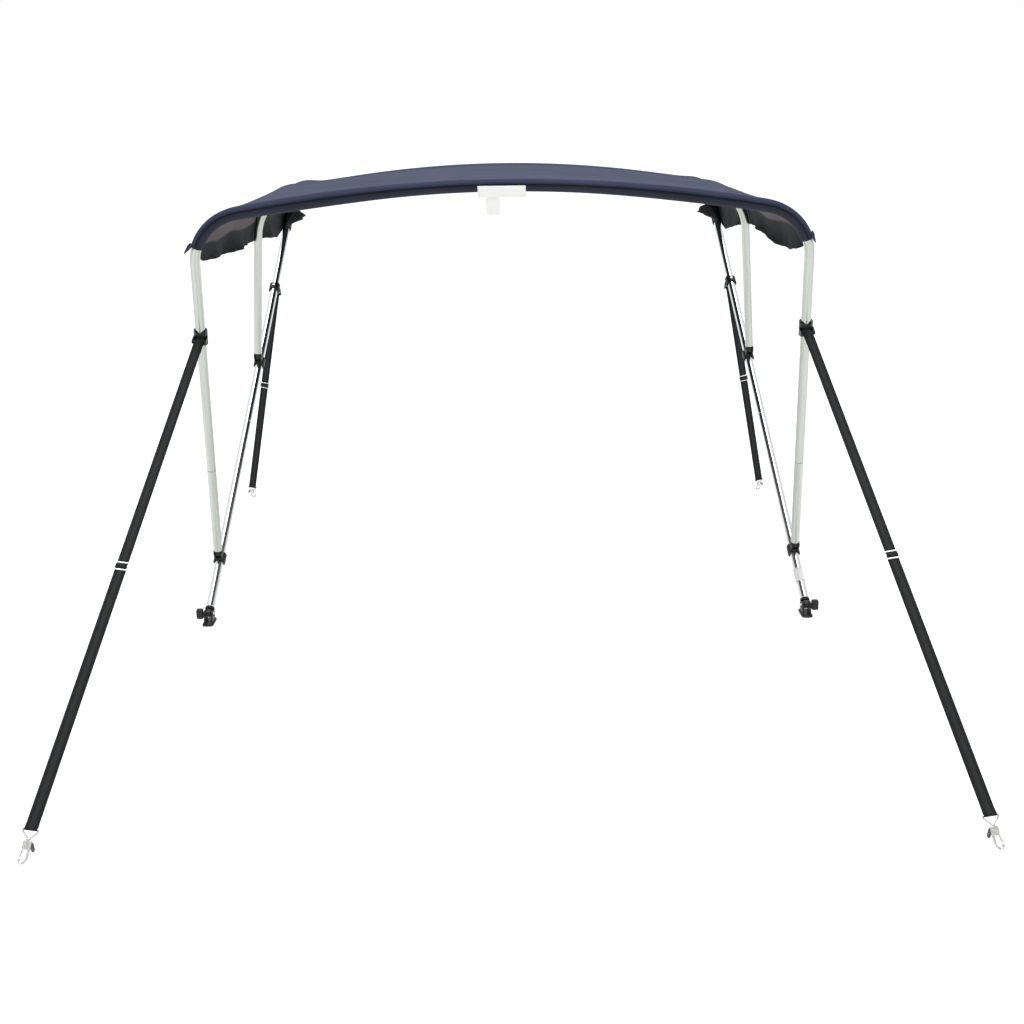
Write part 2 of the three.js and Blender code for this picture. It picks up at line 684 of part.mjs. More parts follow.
function deckHinge() {
  const baseTop = BASE_HEIGHT - PIVOT_HEIGHT;
  const base = plate(roundedSlab(BASE_WIDTH, BASE_LENGTH, 9), BASE_HEIGHT, 4).translate([
    0,
    0,
    baseTop - BASE_HEIGHT / 2,
  ]);
  const outline = new THREE.Shape();
  outline.moveTo(-19, baseTop - 1);
  outline.lineTo(19, baseTop - 1);
  outline.lineTo(11, 0);
  outline.absarc(0, 0, 11, 0, Math.PI);
  outline.closePath();
  const cheeks = [1, -1].map((side) => cheekPlate(side, outline, HINGE_CHEEK));
  const nutEnd = SLOT_HALF + HINGE_CHEEK + NUT_LENGTH;
  const nut = crossBar(7.5, -nutEnd, -nutEnd + NUT_LENGTH + 1, 6);
  const hole = crossBar(PIN_RADIUS + GAP, -nutEnd + 1.5, 40, 12);
  return joined(base, ...cheeks, nut).subtract(hole);
}

function knob() {
  const grip = plate(roundedSlab(KNOB_WIDTH, KNOB_LENGTH, 4), KNOB_DEPTH, 4)
    .rotate([90, 0, 0])
    .translate([KNOB_START + KNOB_WIDTH / 2, 0, 0]);
  const shank = crossBar(5.5, SLOT_HALF + HINGE_CHEEK + GAP, KNOB_START + 1, 12);
  const pinEnd = SLOT_HALF + HINGE_CHEEK + NUT_LENGTH - 1.5 - GAP;
  return joined(grip, shank, crossBar(PIN_RADIUS, -pinEnd, KNOB_START, 12));
}

// A strap in its own plane: x down from the slide's bar to the hook's bar, y out to the front.
const LAYER = (STRAP_THICKNESS + GAP) / 2; // of two layers that lie on each other, from between them
const LOOP_LENGTH = 14;
const TAIL_LENGTH = 38;
const HOOK_BAR_RADIUS = 2;
const GLIDE_PITCH = 9.35; // between the bars of a tri-glide
const GLIDE_RADIUS = 2;
const GLIDE_FLATNESS = 0.65;
const GLIDE_OUT = 3.15; // of the glide's bars, so that the outer ones lie on the strap
const HUMP_RISE = 4.9; // of the strap over the glide's middle bar
const HUMP_HALF = 8.6;
const HUMP_PARTS = 4;

function loopAround(x, towards, barRadius) {
  const radius = barRadius + GAP + STRAP_THICKNESS / 2;
  const start = Math.acos(radius / Math.hypot(LOOP_LENGTH, LAYER)) + Math.atan2(LAYER, LOOP_LENGTH);
  const points = [];
  for (let i = 0; i <= 7; i += 1) {
    const angle = mix(start, 2 * Math.PI - start, i / 7);
    points.push(new THREE.Vector2(x + towards * radius * Math.cos(angle), radius * Math.sin(angle)));
  }
  return points;
}

function strapPath(length, glideAt) {
  const at = (x, y) => new THREE.Vector2(x, y);
  const hump = [];
  for (let i = -HUMP_PARTS; i <= HUMP_PARTS; i += 1) {
    const share = i / HUMP_PARTS;
    hump.push(at(glideAt + HUMP_HALF * share, LAYER + HUMP_RISE * Math.cos((Math.PI / 2) * share) ** 2));
  }
  return [
    at(TAIL_LENGTH, -LAYER),
    at(LOOP_LENGTH, -LAYER),
    ...loopAround(0, 1, STRAP_BAR_RADIUS).reverse(),
    at(LOOP_LENGTH, LAYER),
    ...hump,
    at(length - LOOP_LENGTH, LAYER),
    ...loopAround(length, -1, HOOK_BAR_RADIUS),
    at(length - LOOP_LENGTH, -LAYER),
    at(glideAt + HUMP_HALF - 1, -LAYER),
    at(glideAt + 3, 0.3),
    at(glideAt - 4, 0.3),
  ];
}

// A flat band of webbing whose side view runs through points.
function ribbon(points, thickness, width) {
  const edge = points.map((point, i) => {
    const before = points[i - 1] ?? point;
    const after = points[i + 1] ?? point;
    const turn = point.clone().sub(before).normalize().add(after.clone().sub(point).normalize());
    const normal = new THREE.Vector2(-turn.y, turn.x).normalize();
    const straight = (i === 0 ? after.clone().sub(point) : point.clone().sub(before)).normalize();
    const spread = 1 / Math.abs(normal.cross(straight));
    return { point, offset: normal.multiplyScalar((spread * thickness) / 2) };
  });
  const left = edge.map(({ point, offset }) => point.clone().add(offset));
  const right = edge.map(({ point, offset }) => point.clone().sub(offset));
  const outline = new THREE.Shape([...left, ...right.reverse()]);
  return solidOf(
    new THREE.ExtrudeGeometry(outline, { depth: width, bevelEnabled: false }).translate(0, 0, -width / 2),
  );
}

function triGlide() {
  const half = STRAP_WIDTH / 2 + 0.6 + GLIDE_RADIUS;
  const bars = [-1, 0, 1].map((i) =>
    wire([vector(i * GLIDE_PITCH, 0, -half), vector(i * GLIDE_PITCH, 0, half)], GLIDE_RADIUS, 8),
  );
  const rails = [-1, 1].map((side) =>
    wire([vector(-GLIDE_PITCH, 0, side * half), vector(GLIDE_PITCH, 0, side * half)], GLIDE_RADIUS, 8),
  );
  return joined(...bars, ...rails).scale([1, GLIDE_FLATNESS, 1]).translate([0, GLIDE_OUT, 0]);
}

// A snap hook hanging down along -z from its eye's bar, which lies along x.
const HOOK_WIRE = 2.8;
const HOOK_FLAT = 0.6; // worn off its lowest point by the floor
const TRIGGER_SLOT = 4.6;

const EYE_HALF = [
  { x: 13.2, z: 0 },
  { x: 15, z: -2.2 },
  { x: 15, z: -5 },
  { x: 12.6, z: -9 },
  { x: 2.5, z: -18 },
];

const HOOK_SPINE = [
  { x: 3.6, z: -37 },
  { x: 4.2, z: -54 },
  { x: 2.8, z: -60 },
  { x: -0.8, z: -64.3 },
  { x: -5.5, z: -65.7 },
  { x: -9.6, z: -63 },
  { x: -11, z: -57.6 },
];

const TRIGGER_OUTLINE = [
  { x: 3, z: -25 },
  { x: 3, z: -36 },
  { x: 8.8, z: -36 },
  { x: 10, z: -40 },
  { x: 13.5, z: -43 },
  { x: 15.5, z: -38 },
  { x: 9, z: -25.5 },
];

const inFront = ({ x, z }) => vector(x, 0, z);

function snapHook() {
  const eyeLeft = EYE_HALF.map(({ x, z }) => vector(-x, 0, z)).reverse();
  const eye = wire([...eyeLeft, ...EYE_HALF.map(inFront)], HOOK_BAR_RADIUS, 6);
  const swivel = turned([[0, -24], [4.6, -24], [5.2, -20], [3.6, -16], [0, -15]], 8);
  const body = plate(roundedSlab(17, 18, 3.5), 8, 3).rotate([90, 0, 0]).translate([-0.5, 0, -31]);
  const spine = wire(HOOK_SPINE.map(inFront), HOOK_WIRE, 6);
  const bolt = wire([vector(-6.5, 0, -37), vector(-10.3, 0, -54.6)], 2, 6);
  const slot = block(12, TRIGGER_SLOT, 11.6, [8.7, 0, -30.5]);
  return joined(eye, swivel, body, spine, bolt).subtract(slot);
}

function hookTrigger() {
  const outline = new THREE.Shape(TRIGGER_OUTLINE.map(({ x, z }) => new THREE.Vector2(x, z)));
  return plate(outline, TRIGGER_SLOT - 2 * GAP).rotate([90, 0, 0]);
}

// Straps from a slide on a bow down to a hook on the floor, on the right side

const STRAPS = {
  front: {
    slideBow: frontBow,
    slideAt: FRONT_SLIDE_AT,
    slideLength: 40,
    slideFacing: new THREE.Vector3().crossVectors(RIGHT, frontBow.up),
    end: vector(926, -1231, 54),
    hookWay: vector(20, -37, -54),
    glideShare: 0.53,
  },
  rear: {
    slideBow: mainBow,
    slideAt: REAR_SLIDE_AT,
    slideLength: 29,
    slideFacing: legFace.clone().negate(),
    end: vector(938, 1256, 50),
    hookWay: vector(12, 45, -50),
    glideShare: 0.45,
  },
};

function solidBasis(origin, x, y, z) {
  return new THREE.Matrix4().makeBasis(x, y, z).setPosition(origin).toArray();
}

function lowestPoint(solid) {
  return solid.boundingBox().min[2];
}

function strapPieces(side, place) {
  const { slideBow, slideAt, slideLength, slideFacing, end, hookWay, glideShare } = STRAPS[place];
  const name = (piece) => `${side}_${place}_${piece}`;
  const slideMiddle = slideBow.onLeg(slideAt);
  const slideAcross = new THREE.Vector3().crossVectors(slideFacing, slideBow.legUp).normalize();
  const slideOut = new THREE.Vector3().crossVectors(slideBow.legUp, slideAcross);
  const top = along(slideMiddle, slideOut, STRAP_BAR_REACH);

  // The bars at both ends are square to the strap, and the hook turns freely about its own.
  function frameTo(bottom) {
    const down = bottom.clone().sub(top).normalize();
    const across = slideAcross.clone().addScaledVector(down, -slideAcross.dot(down)).normalize();
    const out = new THREE.Vector3().crossVectors(across, down);
    const hookUp = hookWay.clone().negate();
    hookUp.addScaledVector(across, -hookUp.dot(across)).normalize();
    const hookFront = new THREE.Vector3().crossVectors(hookUp, across);
    const hookAt = solidBasis(bottom, across, hookFront, hookUp);
    return { down, across, out, hookAt };
  }
  const hook = snapHook();
  const bottom = end.clone();
  bottom.z -= lowestPoint(hook.transform(frameTo(end).hookAt)) + HOOK_FLAT;
  const frame = frameTo(bottom);
  const onFloor = (solid) => solid.subtract(block(200, 200, 50, [bottom.x, bottom.y, -25]));

  const length = top.distanceTo(bottom);
  const glideAt = length * glideShare;
  const strap = ribbon(strapPath(length, glideAt), STRAP_THICKNESS, STRAP_WIDTH);
  const facing = frame.out.dot(vector(0, -1, 1)) > 0 ? 1 : -1;
  const zAxis = frame.across.clone().multiplyScalar(facing);
  const yAxis = frame.out.clone().multiplyScalar(facing);
  const axisInSlide = vector(
    frame.across.dot(slideAcross),
    frame.across.dot(slideOut),
    frame.across.dot(slideBow.legUp),
  );
  const slide = named(name("strap_slide"), strapSlide(slideLength, axisInSlide), "nylon");
  return [
    placed(slide, slideMiddle, slideBow.legUp, slideOut),
    placed(named(name("strap"), strap, "webbing"), top, zAxis, yAxis),
    placed(named(name("tri_glide"), triGlide(), "steel"), along(top, frame.down, glideAt), zAxis, yAxis),
    named(name("snap_hook"), onFloor(hook.transform(frame.hookAt)), "steel"),
    named(name("hook_trigger"), hookTrigger().transform(frame.hookAt), "nylon"),
  ];
}

// Everything that is on both sides, built for the right side

function sidePieces(side) {
  const name = (piece) => `${side}_${piece}`;
  const jaw = (piece, at) =>
    placed(named(name(piece), jawSlide(), "nylon"), mainBow.onLeg(at), mainBow.legUp, legFace);
  const end = (piece, bow) => {
    const squareToPin = new THREE.Vector3().crossVectors(bow.legUp, RIGHT);
    return placed(named(name(piece), tubeEnd(), "nylon"), bow.foot, bow.legUp, squareToPin);
  };
  const leg = (piece, bow, ferruleAt, finish) =>
    straightTube(name(piece), bow, TUBE_START, ferruleAt - GAP, finish);
  const hinge = named(name("deck_hinge"), deckHinge(), "nylon");
  hinge.position.copy(mainBow.foot);
  const turnKnob = named(name("hinge_knob"), knob(), "nylon");
  turnKnob.position.copy(mainBow.foot);
  return [
    leg("front_leg", frontBow, FRONT_FERRULE_AT, "satinTube"),
    leg("main_leg", mainBow, MAIN_FERRULE_AT, "polishedTube"),
    end("front_bow_end", frontBow),
    end("middle_bow_end", middleBow),
    end("main_bow_end", mainBow),
    jaw("lower_jaw_slide", LOWER_JAW_AT),
    jaw("middle_jaw_slide", MIDDLE_JAW_AT),
    hinge,
    turnKnob,
    sleeveTab(side, name("sleeve_tab")),
    ...strapPieces(side, "front"),
    ...strapPieces(side, "rear"),
  ];
}

// Small sewn and stuck pieces

const LABEL_THICKNESS = 1;
const WIDE_LABEL = { left: -56, right: 58, drop: 27 };
const NARROW_LABEL = { left: -36, right: -4, drop: 49, start: 18 };
const LABEL_STEP = 1.4; // of one label behind the other
const LABEL_DROP = 0.7; // of the labels' sewn edge below the middle of the sleeve
const WRAP_LABEL_LENGTH = 42;

// A blank label that hangs from the front sleeve's seam, some steps behind the one on the sleeve.
function hemLabel(name, { left, right, drop, start = 0 }, steps) {
  const frame = sleeveFrame(sleeves.front, 0);
  const front = frame.middle.y - SLEEVE_RADIUS - CLOTH_THICKNESS / 2 - GAP - LABEL_THICKNESS / 2;
  const top = frame.middle.z - LABEL_DROP;
  const label = block(right - left, LABEL_THICKNESS, drop, [
    (left + right) / 2,
    front + steps * LABEL_STEP,
    top - start - drop / 2,
  ]);
  return named(name, label, "label");
}

// A pointed tab of hem tape that stands off the outside of the front sleeve's end.
const TAB_WIDTH = 15;
const TAB_TIP = 3;
const TAB_LENGTH = 30;
const TAB_SHOULDER = 12; // from its top to where it begins to narrow
const TAB_OVERLAP = 8;
const TAB_STAND = 4; // of its middle line off the sleeve, which its back edge nearly touches
const TAB_TURN = radians(40); // of its face, from the side towards the front
const TAB_TILT = { right: 8, left: 28 }; // degrees out from the sleeve

function sleeveTab(side, name) {
  const outline = new THREE.Shape();
  outline.moveTo(-TAB_WIDTH / 2, 0);
  outline.lineTo(-TAB_WIDTH / 2, -TAB_SHOULDER);
  outline.lineTo(-TAB_TIP / 2, -TAB_LENGTH);
  outline.lineTo(TAB_TIP / 2, -TAB_LENGTH);
  outline.lineTo(TAB_WIDTH / 2, -TAB_SHOULDER);
  outline.lineTo(TAB_WIDTH / 2, 0);
  outline.closePath();
  const { middle, n, side: front } = sleeveFrame(sleeves.front, COLUMNS);
  const up = new THREE.Vector3().crossVectors(front, n);
  const root = along(along(middle, n, SLEEVE_RADIUS + CLOTH_THICKNESS / 2 + TAB_STAND), up, TAB_OVERLAP);
  const face = n.clone().multiplyScalar(Math.cos(TAB_TURN)).addScaledVector(front, Math.sin(TAB_TURN));
  const tilt = radians(TAB_TILT[side]);
  const zAxis = face.multiplyScalar(Math.cos(tilt)).addScaledVector(up, Math.sin(tilt));
  return placed(named(name, plate(outline, LABEL_THICKNESS), "canopy"), root, zAxis, up);
}

function wrapLabel() {
  const half = WRAP_LABEL_LENGTH / 2;
  const inner = TUBE_RADIUS + GAP;
  const ring = rod(inner + LABEL_THICKNESS, -half, half, 16).subtract(rod(inner, -half - 1, half + 1, 16));
  const mesh = named("leg_wrap_label", ring, "label");
  return placed(mesh, mainBow.onLeg(WRAP_LABEL_AT), mainBow.legUp, BACK);
}

// The whole top

const top = new THREE.Group();
top.add(
  named("canopy", sheet(canopyPoints(), CLOTH_THICKNESS), "canopy"),
  named("middle_bow_sleeve", sheet(pocketPoints(), POCKET_THICKNESS), "canopy"),
  named("front_bow", bentTube(frontBow, FRONT_FERRULE_AT), "satinTube"),
  named("middle_bow", bentTube(middleBow, TUBE_START), "satinTube"),
  named("main_bow", bentTube(mainBow, MAIN_FERRULE_AT), "polishedTube"),
  hemLabel("hem_label_wide", WIDE_LABEL, 0),
  hemLabel("hem_label_narrow", NARROW_LABEL, 1),
  wrapLabel(),
);
for (const [side, sign] of [["right", 1], ["left", -1]]) {
  const half = new THREE.Group();
  half.scale.x = sign;
  half.add(...sidePieces(side));
  top.add(half);
}

// The origin is on the floor under the middle of the whole.
const span = new THREE.Box3().setFromObject(top);
top.position.set(-(span.min.x + span.max.x) / 2, -(span.min.y + span.max.y) / 2, 0);

export default top;
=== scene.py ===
from math import acos, asin, atan, atan2, copysign, cos, dist, hypot, pi, radians, sin, sqrt

import bpy
import numpy as np
from mathutils import Matrix, Vector, noise


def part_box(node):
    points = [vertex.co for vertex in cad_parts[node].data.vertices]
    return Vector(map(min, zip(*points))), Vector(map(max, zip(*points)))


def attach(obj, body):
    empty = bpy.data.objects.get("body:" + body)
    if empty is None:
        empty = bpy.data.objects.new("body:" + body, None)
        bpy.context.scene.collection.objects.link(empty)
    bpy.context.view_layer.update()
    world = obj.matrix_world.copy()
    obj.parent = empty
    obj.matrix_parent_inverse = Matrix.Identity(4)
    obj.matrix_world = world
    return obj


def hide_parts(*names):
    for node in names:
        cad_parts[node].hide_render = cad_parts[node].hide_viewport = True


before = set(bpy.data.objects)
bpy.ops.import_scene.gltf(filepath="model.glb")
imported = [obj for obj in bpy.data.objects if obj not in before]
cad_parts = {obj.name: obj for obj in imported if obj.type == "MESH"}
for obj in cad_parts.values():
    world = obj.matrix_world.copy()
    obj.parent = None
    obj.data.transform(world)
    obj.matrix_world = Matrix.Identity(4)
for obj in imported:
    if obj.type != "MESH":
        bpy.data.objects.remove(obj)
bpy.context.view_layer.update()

# Sizes in millimetres, in the frame whose origin is on the floor between the deck hinges.
# X runs to the right seen from the front, Y to the back and Z up.
MM = 0.001
hinge_low, hinge_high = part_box("right_deck_hinge")
HINGE_BACK = (hinge_low.y + hinge_high.y) / 2

TUBE_RADIUS = 12.5
DECK_HALF = 840
CORNER_RADIUS = 150
# Half the width of each bow over its outermost axis, and the rise of its arch
FRONT_BEND = (756, 55)
MIDDLE_BEND = (750, 40)
MAIN_BEND = (750, 75)
PIVOT_HEIGHT = 28
MAIN_LEAN = radians(37.4)
MAIN_CROWN = 1892
LOWER_JAW_AT = 187
MIDDLE_JAW_AT = 950
REAR_SLIDE_AT = 1290
MAIN_FERRULE_AT = 700
WRAP_LABEL_AT = 97
JAW_REACH = 30
FRONT_CROWN_HEIGHT = 1204
FRONT_CROWN_BACK = -272
FRONT_SLIDE_AT = 716
FRONT_FERRULE_AT = 296
MIDDLE_CROWN_HEIGHT = 1193
MIDDLE_CROWN_BACK = 628
STRAP_WIDTH = 25
STRAP_THICKNESS = 1.4
TUBE_START = 20
JAW_TUBE_START = 11
GAP = 0.3

CROWN_PARTS = 7
CORNER_PARTS = 6
LEG_TOP = CROWN_PARTS + CORNER_PARTS
RIGHT = np.array([1.0, 0.0, 0.0])
BACK = np.array([0.0, 1.0, 0.0])
UP = np.array([0.0, 0.0, 1.0])


def unit(v):
    return v / np.linalg.norm(v, axis=-1, keepdims=True)


def mix(a, b, share):
    return a + (b - a) * share


def bell(distance, width):
    return np.exp(-((distance / width) ** 2))


def column(values):
    """A list of numbers as a column that multiplies a list of points."""
    return np.asarray(values, float)[..., None]


def flipped(points, sign):
    """Points of the right side, put on the left where the sign is -1."""
    return points * np.stack(np.broadcast_arrays(sign, 1, 1), -1)


class Bow:
    """A bent tube in a plane of its own, which leans up from the back about its feet."""

    def __init__(self, base, lean, foot_half, crown, bend):
        self.base = np.array(base, float)
        self.crown = crown
        self.up = np.array([0, cos(lean), sin(lean)])
        self.normal = np.cross(RIGHT, self.up)
        half, rise = bend
        self.corner_x = half - CORNER_RADIUS
        self.crown_radius = (self.corner_x**2 + rise**2) / (2 * rise)
        inward = self.crown_radius - CORNER_RADIUS
        self.corner_up = crown - self.crown_radius + sqrt(inward**2 - self.corner_x**2)
        self.crown_angle = asin(self.corner_x / inward)
        foot_angle = atan2(-self.corner_up, foot_half - self.corner_x)
        foot_distance = hypot(foot_half - self.corner_x, self.corner_up)
        self.leg_angle = foot_angle + acos(CORNER_RADIUS / foot_distance)
        self.foot = self.base + foot_half * RIGHT
        self.leg_top = self.station(LEG_TOP)[0]
        self.leg_up = unit(self.leg_top - self.foot)
        self.leg_length = np.linalg.norm(self.leg_top - self.foot)
        self.corner_step = CORNER_RADIUS * (pi / 2 - self.leg_angle - self.crown_angle) / CORNER_PARTS

    def station(self, index):
        """Points of the axis and the ways out of the bow, from the crown, 0, to the leg's top."""
        index = np.abs(np.asarray(index, float))
        arched = index <= CROWN_PARTS
        corner = mix(self.crown_angle, pi / 2 - self.leg_angle, (index - CROWN_PARTS) / CORNER_PARTS)
        angle = np.where(arched, self.crown_angle * index / CROWN_PARTS, corner)
        out = column(np.sin(angle)) * RIGHT + column(np.cos(angle)) * self.up
        x = np.where(arched, 0, self.corner_x)
        height = np.where(arched, self.crown - self.crown_radius, self.corner_up)
        radius = np.where(arched, self.crown_radius, CORNER_RADIUS)
        return self.base + column(x) * RIGHT + column(height) * self.up + column(radius) * out, out

    def on_leg(self, distance):
        return self.foot + column(distance) * self.leg_up


main_bow = Bow((0, 0, PIVOT_HEIGHT), MAIN_LEAN, DECK_HALF, MAIN_CROWN, MAIN_BEND)


def jaw_bow(jaw_at, crown_back, crown_height, bend):
    pin = main_bow.on_leg(jaw_at) + JAW_REACH * main_bow.normal
    back, height = crown_back - pin[1], crown_height - pin[2]
    return Bow((0, pin[1], pin[2]), atan2(height, back), pin[0], hypot(back, height), bend)


front_bow = jaw_bow(LOWER_JAW_AT, FRONT_CROWN_BACK, FRONT_CROWN_HEIGHT, FRONT_BEND)
middle_bow = jaw_bow(MIDDLE_JAW_AT, MIDDLE_CROWN_BACK, MIDDLE_CROWN_HEIGHT, MIDDLE_BEND)


# Materials

def linear(value):
    value /= 255
    return value / 12.92 if value <= 0.04045 else ((value + 0.055) / 1.055) ** 2.4


def colour(tone):
    """Red, green and blue up to 255, as a shader's colour."""
    return (*(linear(part) for part in tone), 1)


def darker(tone, share):
    return (*(part * share for part in tone[:3]), 1)


class Nodes:
    """A tree of nodes being put together."""

    def __init__(self, tree):
        self.tree = tree

    def node(self, kind, links=(), **settings):
        """A node with its settings, and its inputs linked from other sockets or set to numbers."""
        made = self.tree.nodes.new(kind)
        for key, value in settings.items():
            setattr(made, key, value)
        for key, value in dict(links).items():
            if isinstance(value, bpy.types.NodeSocket):
                self.tree.links.new(value, made.inputs[key])
            else:
                made.inputs[key].default_value = value
        return made

    def axes(self, place):
        return self.node("ShaderNodeSeparateXYZ", {0: place}).outputs

    def math(self, operation, a, b=0.0, c=0.0):
        return self.node("ShaderNodeMath", {0: a, 1: b, 2: c}, operation=operation).outputs[0]

    def ramp(self, value, *stops):
        made = self.node("ShaderNodeValToRGB", {"Fac": value})
        while len(made.color_ramp.elements) < len(stops):
            made.color_ramp.elements.new(0.5)
        for element, (position, tone) in zip(made.color_ramp.elements, stops):
            element.position = position
            element.color = tone if hasattr(tone, "__len__") else (tone, tone, tone, 1)
        return made.outputs[0]

    def blend(self, share, a, b):
        return self.node("ShaderNodeMix", {0: share, 6: a, 7: b}, data_type="RGBA").outputs[2]


class Finish(Nodes):
    """A material being put together."""

    def __init__(self, name, roughness, **sockets):
        self.material = bpy.data.materials.new(name)
        self.material.use_nodes = True
        super().__init__(self.material.node_tree)
        self.shader = self.tree.nodes["Principled BSDF"]
        self.shader.inputs["Roughness"].default_value = roughness
        for socket, value in sockets.items():
            self.shader.inputs[socket.replace("_", " ")].default_value = value

    def link(self, value, socket):
        self.tree.links.new(value, self.shader.inputs[socket])

    def place(self, scale=(1, 1, 1), of="UV"):
        """Coordinates, in metres for the unwrapped pieces, stretched by a scale."""
        source = self.node("ShaderNodeTexCoord").outputs[of]
        return self.node("ShaderNodeMapping", {"Vector": source, "Scale": scale}).outputs[0]

    def noise(self, place, scale, detail=3, roughness=0.55):
        links = {"Vector": place, "Scale": scale, "Detail": detail, "Roughness": roughness}
        return self.node("ShaderNodeTexNoise", links).outputs[0]

    def wave(self, place, scale, direction, distortion=0.0):
        links = {"Vector": place, "Scale": scale, "Distortion": distortion}
        return self.node("ShaderNodeTexWave", links, bands_direction=direction).outputs["Fac"]

    def stitches(self, place, seams, width=0.0005, pitch=0.0042, dash=0.72):
        """Dashes along the first axis, where the second one is close to one of the seams."""
        along, across, _ = self.axes(place)
        rows = 0.0
        for seam in seams:
            off = self.math("ABSOLUTE", self.math("SUBTRACT", across, float(seam)))
            rows = self.math("MAXIMUM", rows, self.math("LESS_THAN", off, width))
        dashes = self.math("LESS_THAN", self.math("FRACT", self.math("DIVIDE", along, pitch)), dash)
        return self.math("MULTIPLY", rows, dashes)

    def bump(self, height, distance, strength, below=None):
        """Fine relief on top of the relief below, if any."""
        links = {"Height": height, "Distance": distance, "Strength": strength}
        if below is not None:
            links["Normal"] = below
        made = self.node("ShaderNodeBump", links).outputs[0]
        self.link(made, "Normal")
        return made


def cloth_finish(name, light, dark, weave=1.1e-3, seams=(), thread=None):
    """Woven cloth in two close tones, with rows of stitches at distances along its second axis."""
    light, dark = colour(light), colour(dark)
    finish = Finish(name, 0.86, Sheen_Weight=0.02, Sheen_Roughness=0.5, Specular_IOR_Level=0.2)
    place = finish.place()
    warp, weft = (finish.wave(place, 1 / (2 * weave), direction, 0.3) for direction in "XY")
    threads = finish.math("MAXIMUM", warp, weft)
    cloud = finish.noise(place, 5, 4)
    fleck = finish.noise(place, 900, 2)
    tones = finish.ramp(finish.math("MULTIPLY_ADD", fleck, 0.35, cloud), (0.42, dark), (0.85, light))
    # Painted shade: the gaps between the threads are darkened towards the dark tone.
    shade = finish.blend(finish.ramp(threads, (0.2, 0.22), (0.7, 0.0)), tones, dark)
    soft = finish.bump(finish.noise(place, 45, 3), 0.0006, 0.3)
    woven = finish.bump(threads, 0.00012, 0.5, soft)
    if seams:
        stitched = finish.stitches(place, seams)
        shade = finish.blend(stitched, shade, colour(thread))
        finish.bump(stitched, 0.0004, 0.7, woven)
    finish.link(shade, "Base Color")
    return finish


def tube_finish(name, tint, roughness, streak):
    """Drawn aluminium: fine streaks along the tube, in its gloss and a little in its colour."""
    tint = colour(tint)
    finish = Finish(name, roughness, Metallic=1.0)
    place = finish.place((1, 0.02, 1))
    fine = finish.noise(place, 900, 4)
    broad = finish.noise(place, 130, 2)
    finish.link(finish.ramp(broad, (0.35, darker(tint, 1 - streak)), (0.65, tint)), "Base Color")
    finish.link(finish.ramp(fine, (0.3, roughness * 0.75), (0.7, roughness * 1.3)), "Roughness")
    finish.bump(fine, 0.00003, 0.3)
    return finish.material


def moulded_finish(name, light, dark, roughness):
    """Moulded plastic with a fine grain and a little scuffing."""
    finish = Finish(name, roughness, Specular_IOR_Level=0.35)
    place = finish.place(of="Object")
    grain = finish.noise(place, 2600, 2)
    scuff = finish.noise(place, 70, 5, 0.7)
    finish.link(finish.ramp(scuff, (0.4, colour(dark)), (0.75, colour(light))), "Base Color")
    finish.link(finish.ramp(scuff, (0.35, roughness * 0.8), (0.7, roughness * 1.35)), "Roughness")
    finish.bump(grain, 0.00008, 0.5)
    return finish.material


def metal_finish(name, tint, roughness):
    """Plated metal, cast slightly uneven."""
    tint = colour(tint)
    finish = Finish(name, roughness, Metallic=1.0)
    place = finish.place(of="Object")
    cloud = finish.noise(place, 160, 4)
    finish.link(finish.ramp(cloud, (0.35, darker(tint, 0.72)), (0.6, tint)), "Base Color")
    finish.link(finish.ramp(cloud, (0.3, roughness * 1.5), (0.65, roughness * 0.8)), "Roughness")
    finish.bump(finish.noise(place, 420, 3), 0.00012, 0.35)
    return finish.material


def webbing_finish(name, light, dark):
    """Flat webbing: ribs along its length, crossed by the weft, and a paler stripe in the middle."""
    light, dark = colour(light), colour(dark)
    finish = Finish(name, 0.85, Sheen_Weight=0.02, Specular_IOR_Level=0.2)
    place = finish.place()
    ribs = finish.wave(place, 1 / 4.2e-3, "X")
    weft = finish.wave(place, 1 / 2.4e-3, "DIAGONAL")
    height = finish.math("MULTIPLY_ADD", weft, 0.45, ribs)
    off = finish.math("ABSOLUTE", finish.math("SUBTRACT", finish.axes(place)[0], STRAP_WIDTH / 2 * MM))
    stripe = finish.ramp(finish.math("MULTIPLY", off, 80.0), (0.3, 1.0), (0.42, 0.0))
    worn = finish.math("MULTIPLY", finish.noise(place, 14, 3), 0.5)
    tones = finish.blend(finish.math("MULTIPLY_ADD", stripe, 0.6, worn), dark, light)
    # Painted shade: the hollows between the ribs and the weft are darkened.
    finish.link(finish.blend(finish.ramp(height, (0.1, 0.5), (1.1, 0.0)), tones, dark), "Base Color")
    finish.bump(height, 0.0003, 0.7)
    return finish.material


hem_finish = cloth_finish("hem_cloth", (41, 45, 59), (30, 33, 44)).material
# Painted light: a pale grey, not the navy cloth, makes the tucked underside of the rear sleeve look lit
# although it sits in shade.
tuck_painted_light_finish = cloth_finish("tucked_cloth_painted_light", (106, 110, 112), (74, 78, 80)).material
